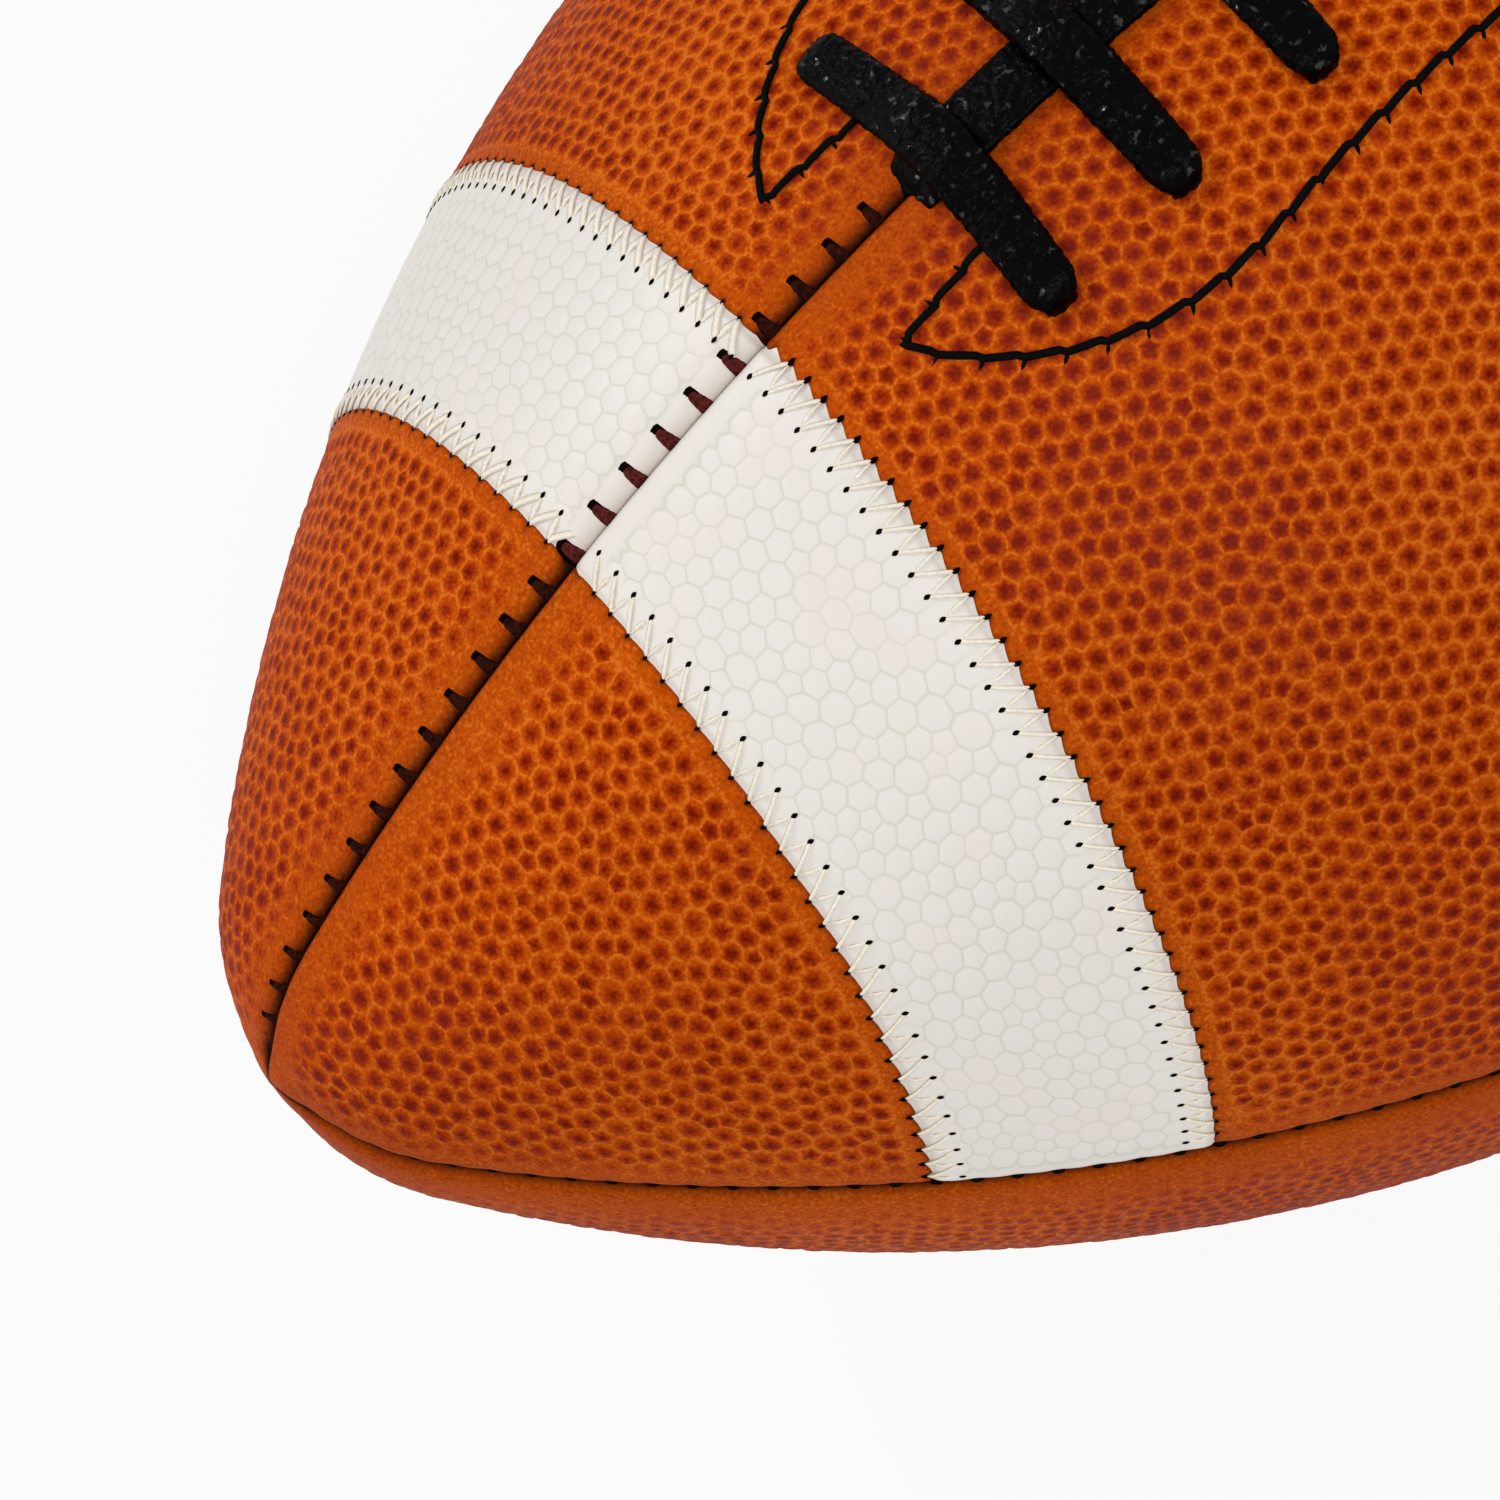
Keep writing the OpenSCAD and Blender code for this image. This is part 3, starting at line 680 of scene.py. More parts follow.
def relaxed(s, angle, loop_length, rounds):
    """Moves each seed to the middle of the triangles round it, weighed by their areas."""
    seeds = np.arange(len(s)) >= loop_length
    for _ in range(rounds):
        faces = joined(s, angle, loop_length)
        first, second, third = np.moveaxis(place_at(s, angle)[faces], 1, 0)
        area = np.linalg.norm(np.cross(second - first, third - first), axis=1)
        total, sum_m, sum_a = (np.zeros(len(s)) for _ in range(3))
        m = to_map(s)
        for k in range(3):
            np.add.at(total, faces[:, k], area)
            np.add.at(sum_m, faces[:, k], area * m[faces].mean(1))
            np.add.at(sum_a, faces[:, k], area * angle[faces].mean(1))
        used = seeds & (total > 0)
        s = np.where(used, from_map(sum_m / np.maximum(total, NO_AREA)), s)
        angle = np.where(used, sum_a / np.maximum(total, NO_AREA), angle)
    return s, angle


four = np.array([0, 10, 10, 0]) * MM, np.array([0.1, 0.1, 0.2, 0.2])
print("a square loop takes", len(joined(*four, 4)), "triangles")

# %% [markdown]
# Each pebble is a fan of triangles inside a ring, and the ring is joined to the groove round it.
# So a pebble has a top, where its seed is, a ring, and corners in the groove that it shares with
# its neighbours. A share or a radius says how far from the top the ring is.

# %% From seeds to pebbles
EDGE, CORNER, RING, TOP = range(4)
LEAST_RING = 0.2


def ring_places(faces, ring, s, angle):
    """The groove corner in each triangle, and a point of the ring on the way from each seed."""
    m = to_map(s)
    mid_m, mid_a = m[faces].mean(1), angle[faces].mean(1)
    radius = outline(s)[0][faces]
    away = np.hypot(mid_m[:, None] - m[faces], mid_a[:, None] - angle[faces]) * radius
    share = np.clip(ring["radius"] / np.maximum(away, TOUCH), LEAST_RING, ring["share"])
    ring_m = m[faces] + share * (mid_m[:, None] - m[faces])
    ring_a = angle[faces] + share * (mid_a[:, None] - angle[faces])
    return from_map(mid_m), mid_a, from_map(ring_m.ravel()), ring_a.ravel()


def cell_faces(faces, loop_length, count):
    """Joins each seed to its ring, and each ring to the groove round it."""
    n_faces = len(faces)
    corners = count + np.arange(n_faces)
    rings = count + n_faces + np.arange(3 * n_faces).reshape(-1, 3)
    start, end = faces.ravel().tolist(), np.roll(faces, -1, axis=1).ravel().tolist()
    sides = {pair: i for i, pair in enumerate(zip(start, end))}
    out = []
    for (a, b), i in sides.items():
        corner, ring = corners[i // 3], rings[i // 3, i % 3]
        j = sides.get((b, a))
        if j is None:
            out.append((a, b, corner))
            continue
        next_corner, next_ring = corners[j // 3], rings[j // 3, (j % 3 + 1) % 3]
        if a < loop_length:
            out.append((a, next_corner, corner))
            continue
        out.append((a, next_ring, ring))
        out.append((next_ring, next_corner, corner))
        out.append((next_ring, corner, ring))
    return np.array(out)


def pebbled(faces, loop_length, ring, s, angle):
    """Pebbles from triangles: their points, what each point is, its seed, and the faces."""
    count, n_faces = len(s), len(faces)
    mid_s, mid_a, ring_s, ring_a = ring_places(faces, ring, s, angle)
    kinds = [EDGE, TOP, CORNER, RING]
    kind = np.repeat(kinds, [loop_length, count - loop_length, n_faces, 3 * n_faces])
    seed = np.concatenate([np.arange(count), np.full(n_faces, -1), faces.ravel()])
    s, angle = np.concatenate([s, mid_s, ring_s]), np.concatenate([angle, mid_a, ring_a])
    return s, angle, kind, seed, cell_faces(faces, loop_length, count)


print("points of one triangle between seeds: 1 corner and 3 ring points")

# %% [markdown]
# A patch has a frame of fine, regular rows along its edges, where the leather rolls, and a field
# of pebbles inside it. The rows lie closest together beside the seams and the cuts. The seeds of
# the field start as a honeycomb, with each a little out of place.

# %% Rows and seeds of a patch
SEAM_ROWS = np.array([0.1, 0.35, 0.75, 1.25, 1.8, 2.4]) * MM
CUT_ROWS = np.array([0.0, 0.07, 0.19, 0.38, 0.67, 1.0]) * CUT_REACH
ROW_STEP = SEAM_STITCH / 6
COLUMN_STEP = 0.39 * MM
LEAST_STEPS = 4
LEAST_COLUMNS = 2
JITTER = 0.3
SIDE_MARGIN = 1.3


def patch_rows(s_from, s_to, cut_from, cut_to):
    """The rows at a patch's low end, those between, and those at its high end."""
    tip_run = TIP_R * math.asin(TIP_FIELD / TIP_R)
    tip_rows = np.linspace(0, tip_run, len(CUT_ROWS))
    low = s_from + (CUT_ROWS if cut_from else tip_rows)
    high = (s_to - (CUT_ROWS if cut_to else tip_rows))[::-1]
    steps = max(int(round((high[0] - low[-1]) / ROW_STEP)), LEAST_STEPS)
    return low, np.linspace(low[-1], high[0], steps + 1), high


def row_angles(s, inner=0):
    """The angles of a row's columns: close together at both seams, even between."""
    radius = np.maximum(outline(s)[0], TIP_FIELD)[:, None]
    first = SEAM_ROWS / radius
    last = math.pi / 2 - first[:, ::-1]
    share = np.linspace(0, 1, inner + 2)[1:-1]
    return np.hstack([first, first[:, -1:] + share * (last[:, :1] - first[:, -1:]), last])


def end_angles(rows, edge):
    """The angles at one end, with columns as fine as the seams need all the way across."""
    radius = max(float(outline(edge)[0]), TIP_FIELD)
    inner = int(round((radius * math.pi / 2 - 2 * SEAM_ROWS[-1]) / COLUMN_STEP))
    return row_angles(rows, max(inner, LEAST_COLUMNS))


def grid_faces(rows, columns):
    corner = (np.arange(rows - 1)[:, None] * columns + np.arange(columns - 1)).ravel()
    up, over = corner + columns, corner + 1
    return np.vstack([np.stack([corner, up, up + 1], -1), np.stack([corner, up + 1, over], -1)])


def hex_seeds(s_from, s_to, pitch, margin, rng):
    """A honeycomb of points between two rows, with each a little out of place."""
    rows = np.arange(s_from + margin, s_to - margin, pitch * math.sqrt(3) / 2)
    s_all, angle_all = [], []
    for k, s in enumerate(rows):
        radius = max(float(outline(s)[0]), TIP_FIELD)
        half = radius * math.pi / 4 - SEAM_ROWS[-1] - SIDE_MARGIN * margin
        if half < pitch / 2:
            continue
        across = np.arange(-half + (k % 2) * pitch / 2, half, pitch)
        across = across + rng.uniform(-JITTER, JITTER, len(across)) * pitch
        s_all.append(s + rng.uniform(-JITTER, JITTER, len(across)) * pitch)
        angle_all.append(math.pi / 4 + across / radius)
    return np.concatenate(s_all), np.concatenate(angle_all)


print("rows beside a seam, in mm:", SEAM_ROWS / MM)

# %% [markdown]
# The field takes a loop of the frame's innermost points and fills it. Its pebbles stand on a
# groove, each a little higher or lower than the next. Every point gets three numbers for the
# material: how much of a pebble it is, the pebble's own tone, and its stain, which is
# mostly painted shade.

# %% The field of pebbles
LIFT = 0.25
SEED_MARGIN = 0.42
MIDDLE_TONE = 0.5


def loop_round(rows, first, last, across_low, across_high):
    """A closed loop: up the first side, across the high end, down the last side and back."""
    s = np.concatenate([
        rows, np.full(len(across_high), rows[-1]), rows[::-1], np.full(len(across_low), rows[0]),
    ])
    return s, np.concatenate([first, across_high, last[::-1], across_low[::-1]])


def field(middle, strip, across_low, across_high, cell, rng):
    """Points with their faces, how deep each sinks, how much of a pebble it is, and its tone."""
    side = len(SEAM_ROWS)
    loop = loop_round(middle, strip[:, side - 1], strip[:, side], across_low, across_high)
    length = len(loop[0])
    seeds = hex_seeds(middle[0], middle[-1], cell["pitch"], SEED_MARGIN * cell["pitch"], rng)
    s, angle = (np.concatenate(pair) for pair in zip(loop, seeds))
    s, angle = relaxed(s, angle, length, cell["rounds"])
    faces = joined(s, angle, length)
    s, angle, kind, seed, faces = pebbled(faces, length, cell["ring"], s, angle)
    fade = cell["fade"](s, angle)
    lift = rng.uniform(1 - LIFT, 1 + LIFT, len(kind))[seed]
    own = [kind == CORNER, kind == RING, kind == TOP]
    sink = np.select(own, [1.0, 1 - cell["crown"] * lift, 1 - lift], 0)
    sink = cell["groove"] * np.maximum(sink + LIFT, 0) / (1 + LIFT) * fade
    pebble = np.select(own, [0.0, cell["top"], 1.0], cell["smooth"])
    pebble = cell["smooth"] + (pebble - cell["smooth"]) * fade
    tone = np.where(kind >= RING, rng.uniform(0, 1, len(kind))[seed], MIDDLE_TONE)
    return s, angle, faces, np.where(kind == EDGE, 0.0, sink), pebble, tone


print("a pebble's height varies by", round(100 * LIFT), "percent")

# %% [markdown]
# A wall and a smooth inner skin close the patch, so it is a solid sheet of leather, as in life.
# The inner skin needs only a few points, but its rim repeats the outer one, point for point.

# %% A patch of leather
SKIN_PITCH = 12 * MM
SKIN_MARGIN = 5 * MM
LEAST_THICK = 0.6 * MM


def together(parts):
    """Parts as one: the six numbers of their points, and their faces."""
    base = np.cumsum([0] + [len(part[0]) for part in parts])
    faces = np.vstack([part[6] + shift for part, shift in zip(parts, base)])
    return [np.concatenate([part[k] for part in parts]) for k in range(6)] + [faces]


def patch(s_from, s_to, cut_from, cut_to, cell, form, seed):
    """One patch, as places, heights, pebble, tone, stain and faces. Form gives the depth
    and the stain, which is mostly painted shade.
    """
    rng = np.random.default_rng(seed)
    low, middle, high = patch_rows(s_from, s_to, cut_from, cut_to)
    low_angles, high_angles = end_angles(low, low[-1]), end_angles(high, high[0])
    strip = row_angles(middle)
    side = len(SEAM_ROWS)
    parts = []

    def keep(s, angle, faces, sink=0.0, pebble=cell["smooth"], tone=MIDDLE_TONE, thick=None):
        depth, stain = form(s, angle)
        height = -depth - sink if thick is None else -np.maximum(thick, depth + LEAST_THICK)
        pebble, tone = (np.zeros_like(s) + value for value in (pebble, tone))
        parts.append((cell["edge"](s, angle), angle, height, pebble, tone, stain, faces))

    ends = [(low, low_angles), (high, high_angles)]
    for rows, angles in ends + [(middle, strip[:, :side]), (middle, strip[:, side:])]:
        s = np.repeat(rows[:, None], angles.shape[1], axis=1)
        keep(s.ravel(), angles.ravel(), grid_faces(*angles.shape))
    inside = slice(side, -side)
    keep(*field(middle, strip, low_angles[-1, inside], high_angles[0, inside], cell, rng))

    rows = np.concatenate([low[:-1], middle, high[1:]])
    columns = row_angles(rows)
    across_low = low_angles[0, 1:-1] if cut_from else np.zeros(0)
    across_high = high_angles[-1, 1:-1] if cut_to else np.zeros(0)
    rim = loop_round(rows, columns[:, 0], columns[:, -1], across_low, across_high)
    count = len(rim[0])
    outer = sum(len(part[0]) for part in parts) + np.arange(count)
    keep(*rim, np.zeros((0, 3), int))
    coarse = hex_seeds(rows[0], rows[-1], SKIN_PITCH, SKIN_MARGIN, rng)
    skin = [np.concatenate(pair) for pair in zip(rim, coarse)]
    keep(*skin, joined(*skin, count)[:, ::-1], thick=cell["thick"])
    *points, faces = together(parts)
    outer_next = np.roll(outer, -1)
    wall = np.vstack([
        np.stack([outer, outer + count, outer_next + count], -1),
        np.stack([outer, outer_next + count, outer_next], -1),
    ])
    return [*points, np.vstack([faces, wall])]


print("inner skin:", round(LEAST_THICK / MM, 1), "mm or more below the smooth surface")

# %% [markdown]
# Patches become one mesh. Points that lie together are merged, which closes each patch along
# its rows and at the tips, and triangles that shrink to nothing there are dropped. Two panels
# are mirror images, so their triangles are turned over to keep every face pointing outwards.

# %% From patches to an object
MERGE_STEP = 1e-7


def mesh_object(name, points, faces, material, attributes=None):
    mesh = bpy.data.meshes.new(name)
    mesh.from_pydata(points.tolist(), [], faces.tolist())
    for key, values in (attributes or {}).items():
        mesh.attributes.new(key, "FLOAT", "POINT").data.foreach_set("value", values)
    mesh.shade_smooth()
    mesh.materials.append(material)
    return placed(name, mesh)


def merged(points, faces):
    """The points to keep, and the faces that still have three different corners."""
    spots = np.round(points / MERGE_STEP)
    _, keep, own = np.unique(spots, axis=0, return_index=True, return_inverse=True)
    faces = own.ravel()[faces]
    faces = faces[(faces != np.roll(faces, -1, axis=1)).all(1)]
    used, faces = np.unique(faces, return_inverse=True)
    return keep[used], faces.reshape(-1, 3)


def panel_object(name, patches, start, turn, proud, material):
    s, angle, height, pebble, tone, stain, faces = together(patches)
    points = place_at(s, start + turn * angle, height + proud)
    keep, faces = merged(points, faces)
    if turn > 0:
        faces = faces[:, ::-1]
    attributes = {"pebble": pebble[keep], "tone": tone[keep], "stain": np.clip(stain[keep], 0, 1)}
    obj = mesh_object(name, points[keep], faces, material, attributes)
    sides = np.sort(np.stack([faces, np.roll(faces, -1, axis=1)], -1).reshape(-1, 2), axis=1)
    shared = np.unique(sides, axis=0, return_counts=True)[1]
    print(name, len(faces), "triangles, edges not shared by two:", int((shared != 2).sum()))
    return obj


print("points are merged where they lie within", MERGE_STEP, "m")

# %% [markdown]
# The cells of the two leathers differ in size and form. Pebbles fade out towards seams and cuts,
# where the leather was stretched and pressed when it was turned. They come back slowly beside a
# seam, and more slowly on the panels without a lacing. The white cobbles fill their cells almost
# to the groove, because their ring always lies at the same share of the way.

# %% The pebbles of the two leathers
ROUNDS = 3


def fade_beside(cuts, seam, cut_band, least):
    """How strong the pebbles are. Each band is bare first, and then they come back over a reach."""
    def fade(s, angle):
        share = ease((np.minimum(*seam_distances(s, angle)) - seam[0]) / seam[1])
        for cut in cuts:
            beside = ease((np.abs(s - cut) - cut_band[0]) / cut_band[1])
            share = share * (least + (1 - least) * beside)
        return share
    return fade


def leather_cell(cuts, side):
    reach = 8 * MM if cuts else 15 * MM
    return {
        "pitch": 2.5 * MM, "rounds": ROUNDS, "ring": {"radius": 0.8 * MM, "share": 0.75},
        "crown": 0.85, "top": 0.5, "smooth": 0.22, "groove": 0.26 * MM, "thick": 1.4 * MM,
        "fade": fade_beside(cuts, (1 * MM, reach), (0, 4 * MM), 0.4),
        "edge": bitten_edge(side) if cuts else straight_edge,
    }


def cobble_cell(cuts):
    return {
        "pitch": 2.75 * MM, "rounds": ROUNDS, "ring": {"radius": math.inf, "share": 0.8},
        "crown": 0.96, "top": 1.0, "smooth": 1.0, "groove": 0.07 * MM, "thick": 0.75 * MM,
        "fade": fade_beside(cuts, (0.6 * MM, 2.2 * MM), (1.6 * MM, 1.4 * MM), 0.0),
        "edge": straight_edge,
    }


print("rounds of spacing:", ROUNDS)

# %% [markdown]
# Each kind of panel puts its own relief together. The laced ones have seams, cuts and dents, and
# the plain ones only seams. A stripe's edges run on a little lower, under the teeth of the tan
# leather, and take a painted shadow there. The near panels take painted shade: the laced one
# darker away from the lacing, and the plain one all over.

# %% The relief of each panel
LACINGS = {"near": "tight", "far": "soft"}
PAINTED_SHADES = {"near": 0.17, "far": 0.0}
PAINTED_SHADE_RISE = 1.3
LIP = 1.1 * MM
LIP_DEPTH = 0.38 * MM
LIP_START = 0.25 * MM
LIP_W = 0.5 * MM
STRIPE_SEAM_SHARE = 0.35
STRIPE_EDGE_SHADE = 0.3
STRIPE_EDGE_W = 0.3 * MM


def laced_form(side):
    def form(s, angle):
        seam, cut = seam_form(s, angle, LACINGS[side]), cut_form(s, angle)
        # Painted shade, which grows from the lacing towards the side seam.
        shade = PAINTED_SHADES[side] * ease(PAINTED_SHADE_RISE * angle / (math.pi / 2))
        return seam[0] + cut[0] + hole_dents(s, angle), seam[1] + cut[1] + shade
    return form


def stripe_form(side):
    def form(s, angle):
        depth, stain = seam_form(s, angle, LACINGS[side])
        inside = np.minimum(np.abs(s) - STRIPE_NEAR, STRIPE_FAR - np.abs(s))
        under = LIP_DEPTH * ease((LIP_START - inside) / LIP_W)
        # Painted shadow under the tan leather's teeth, at the stripe's edges.
        edge_shade = STRIPE_EDGE_SHADE * hump(inside / STRIPE_EDGE_W)
        return depth + under, STRIPE_SEAM_SHARE * stain + edge_shade
    return form


def plain_form(side):
    def form(s, angle):
        depth, stain = seam_form(s, angle, "plain")
        # Painted shade all over the panel.
        return depth, stain + PAINTED_SHADES[side]
    return form


print("a stripe's edge lies", round(LIP_DEPTH / MM, 2), "mm under the teeth")

# %% [markdown]
# The near plain panel gets the hole for the valve: a Boolean modifier takes a cylinder out of it,
# as a punch does.

# %% A punch for the valve hole
VALVE_ANGLE = math.pi - 24 * MM / BALL_R
VALVE_HOLE_R = 3.2 * MM
PUNCH_SIDES = 48
PUNCH_HEIGHTS = (-3 * MM, 2 * MM)
LONG_AXIS = [1.0, 0.0, 0.0]


def cylinder(angle, radius):
    """Points and faces of a punch that stands upright in the leather, halfway between the tips."""
    sideways = np.cross(normal_at(0.0, angle), LONG_AXIS)
    turn = np.linspace(0, 2 * math.pi, PUNCH_SIDES, endpoint=False)[:, None]
    ring = radius * (np.cos(turn) * LONG_AXIS + np.sin(turn) * sideways)
    ends = [place_at(0.0, angle, height) for height in PUNCH_HEIGHTS]
    points = [end + offsets for end in ends for offsets in (0 * ring[:1], ring)]
    k = np.arange(PUNCH_SIDES)
    low, high = k + 1, k + PUNCH_SIDES + 2
    low_next, high_next = np.roll(low, -1), np.roll(high, -1)
    faces = [
        (0 * k, low_next, low), (0 * k + PUNCH_SIDES + 1, high, high_next),
        (low, low_next, high_next), (low, high_next, high),
    ]
    return np.concatenate(points), np.vstack([np.stack(face, -1) for face in faces])


def bake(obj):
    """Runs an object's modifiers and keeps the result as its plain mesh."""
    graph = bpy.context.evaluated_depsgraph_get()
    mesh = bpy.data.meshes.new_from_object(obj.evaluated_get(graph), depsgraph=graph)
    obj.modifiers.clear()
    obj.data = mesh
    print(obj.name, len(mesh.polygons), "faces")


def punch(panel, angle, radius):
    """Cuts a round hole through a panel."""
    tool = mesh_object("punch", *cylinder(angle, radius), TAN)
    cut = panel.modifiers.new("hole", "BOOLEAN")
    cut.object = tool
    cut.operation = "DIFFERENCE"
    cut.solver = "MANIFOLD"
    bake(panel)
    bpy.data.objects.remove(tool)


print("valve hole:", round(2 * VALVE_HOLE_R / MM, 1), "mm across")

# %% [markdown]
# Now the panels are made. Each laced one takes three patches, with a gap for each stripe between
# them, and each plain one is a single patch. The last number gives each patch its own chance.

# %% The four panels
ANGLES = {"near": (0.0, 1), "far": (0.0, -1)}
PLAIN_ANGLES = {"near": (math.pi, -1), "far": (-math.pi, 1)}
panels = []
for number, side in enumerate(("near", "far")):
    cell, form = leather_cell(CUTS, side), laced_form(side)
    laced = [
        patch(-HALF_ARC, -STRIPE_FAR, False, True, cell, form, 10 + number),
        patch(-STRIPE_NEAR, STRIPE_NEAR, True, True, cell, form, 20 + number),
        patch(STRIPE_FAR, HALF_ARC, True, False, cell, form, 30 + number),
    ]
    panel = panel_object("leather_laced_" + side, laced, *ANGLES[side], 0.0, TAN)
    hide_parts("laced_panel_" + side)
    cell, form = leather_cell([], side), plain_form(side)
    plain = [patch(-HALF_ARC, HALF_ARC, False, False, cell, form, 40 + number)]
    under = panel_object("leather_plain_" + side, plain, *PLAIN_ANGLES[side], 0.0, TAN)
    if side == "near":
        punch(under, VALVE_ANGLE, VALVE_HOLE_R)
    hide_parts("plain_panel_" + side)
    panels += [panel, under]

# %% [markdown]
# Each stripe is its own sheet, let into the gap between two patches and a hair prouder. Its
# edges run on under the tan leather, where the zigzag holds them.

# %% The white stripes
STRIPE_PROUD = 0.12 * MM
STRIPE_ENDS = (("nose", -STRIPE_FAR, -STRIPE_NEAR), ("tail", STRIPE_NEAR, STRIPE_FAR))
for number, side in enumerate(("near", "far")):
    for end, s_from, s_to in STRIPE_ENDS:
        cell, form = cobble_cell([s_from, s_to]), stripe_form(side)
        sheet = [patch(s_from - LIP, s_to + LIP, True, True, cell, form, 50 + number)]
        name = "stripe_" + end + "_" + side
        stripe = panel_object(name, sheet, *ANGLES[side], STRIPE_PROUD, WHITE)
        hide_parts(end + "_stripe_" + side)
        panels.append(stripe)

for piece in panels:
    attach(piece, "root")

# %% [markdown]
# Everything sewn or laced repeats along a line, so Geometry Nodes grow it. Python gives each
# tree a line of points that carry two directions, up out of the leather and along it, and a
# girth. The tree has named inputs for its sizes, and ends by realizing its copies and setting
# the material.

# %% Lines for the trees to grow on
def line_object(name, points, up, along, run=0, girth=None):
    """Points joined in runs of equal length. Each carries two directions and a girth."""
    count = len(points)
    edges = [(i, i + 1) for i in range(count - 1) if not run or (i + 1) % run]
    mesh = bpy.data.meshes.new(name)
    mesh.from_pydata(points.tolist(), edges, [])
    for key, values in (("up", up), ("along", along)):
        carrier = mesh.attributes.new(key, "FLOAT_VECTOR", "POINT")
        carrier.data.foreach_set("vector", values.ravel())
    girth = np.ones(count) if girth is None else girth
    mesh.attributes.new("girth", "FLOAT", "POINT").data.foreach_set("value", girth)
    return placed(name, mesh)


def new_tree(name, sizes):
    """An empty tree with named inputs, as its board and a wire for each input."""
    tree = bpy.data.node_groups.new(name, "GeometryNodeTree")
    tree.interface.new_socket("Line", in_out="INPUT", socket_type="NodeSocketGeometry")
    for label in sizes:
        tree.interface.new_socket(label, in_out="INPUT", socket_type="NodeSocketFloat")
    tree.interface.new_socket("Material", in_out="INPUT", socket_type="NodeSocketMaterial")
    tree.interface.new_socket("Piece", in_out="OUTPUT", socket_type="NodeSocketGeometry")
    board = Board(tree)
    given = tree.nodes.new("NodeGroupInput")
    return board, {s.name: Wire(board, s) for s in given.outputs if s.name}


def close_tree(board, piece, given):
    piece = board.add("GeometryNodeRealizeInstances", {0: piece})
    piece = board.add("GeometryNodeSetShadeSmooth", {0: piece})
    piece = board.add("GeometryNodeSetMaterial", {0: piece, "Material": given["Material"]})
    end = board.tree.nodes.new("NodeGroupOutput")
    board.tree.links.new(piece.socket, end.inputs[0])
    return board.tree


def grow(line, tree, material, slot, **sizes):
    """Runs a tree on a line, keeps its result as a plain mesh, and lets it ride on the ball."""
    modifier = line.modifiers.new("grow", "NODES")
    modifier.node_group = tree
    values = {**sizes, "Material": material}
    for item in tree.interface.items_tree:
        if item.in_out == "INPUT" and item.name in values:
            modifier[item.identifier] = values[item.name]
    bake(line)
    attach(line, "root")
    return line


def carried(board, name, kind="FLOAT_VECTOR"):
    """An attribute that the line carries."""
    return board.add("GeometryNodeInputNamedAttribute", {"Name": name}, data_type=kind)


def vector(board, operation, first, second):
    sockets = {0: first, "Scale" if operation == "SCALE" else 1: second}
    return board.add("ShaderNodeVectorMath", sockets, operation=operation)


print("each point of a line carries: up, along, girth")

# %% [markdown]
# Four trees are enough. A thread tree sweeps a flattened ring along each run. A zigzag tree
# first swings the points of its line from side to side. An almond tree sets a small pointed
# bead on each point. A strap tree, further down, makes the lace.

# %% The thread and zigzag trees
def turned_curve(board, line):
    """The line as a curve, whose sections keep their first side towards up."""
    curve = board.add("GeometryNodeMeshToCurve", {0: line})
    up = carried(board, "up")
    return board.add("GeometryNodeSetCurveNormal", {"Curve": curve, "Normal": up}, mode="FREE")


def swept(board, line, given, sides):
    """A ring, as wide and thick as the tree's inputs say, carried along every run."""
    curve = turned_curve(board, line)
    ring = board.add("GeometryNodeCurvePrimitiveCircle", {"Resolution": sides, "Radius": 0.5})
    size = {0: given["Thickness"], 1: given["Width"], 2: 1.0}
    size = board.add("ShaderNodeCombineXYZ", size)
    ring = board.add("GeometryNodeTransform", {"Geometry": ring, "Scale": size})
    return board.add("GeometryNodeCurveToMesh", {
        "Curve": curve, "Profile Curve": ring, "Fill Caps": True,
        "Scale": carried(board, "girth", "FLOAT"),
    })


def thread_tree():
    board, given = new_tree("thread", ["Width", "Thickness"])
    return close_tree(board, swept(board, given["Line"], given, 8), given)


def zigzag_tree():
    """Every twelve points make one stitch: slowly out to the tan leather, and quickly back."""
    board, given = new_tree("zigzag", ["Width", "Thickness", "Swing", "Arch", "Dive"])
    index = board.add("GeometryNodeInputIndex")
    step = board.add("ShaderNodeMath", {0: index, 1: float(ZIGZAG_STEPS)}, operation="MODULO")
    out = step * (1 / TOOTH_STEP)
    back = (ZIGZAG_STEPS - step) * (1 / (ZIGZAG_STEPS - TOOTH_STEP))
    share = board.add("ShaderNodeMath", {0: out, 1: back}, operation="MINIMUM")
    bow = board.add("ShaderNodeMath", {0: 4 * share * (1 - share), 1: 0.5}, operation="POWER")
    swing = (0.5 - share) * given["Swing"]
    sideways = vector(board, "SCALE", carried(board, "along"), swing)
    lift = bow * (given["Arch"] + given["Dive"]) - given["Dive"]
    upwards = vector(board, "SCALE", carried(board, "up"), lift)
    offset = vector(board, "ADD", sideways, upwards)
    moved = board.add("GeometryNodeSetPosition", {"Geometry": given["Line"], "Offset": offset})
    return close_tree(board, swept(board, moved, given, 5), given)


THREAD_TREE, ZIGZAG_TREE = thread_tree(), zigzag_tree()
print("nodes:", len(THREAD_TREE.nodes), "for a thread,", len(ZIGZAG_TREE.nodes), "for a zigzag")

# %% [markdown]
# An almond is a small sphere whose sides are drawn in towards both ends. Two rotations lay it
# along its point's own direction, with its flat side up.

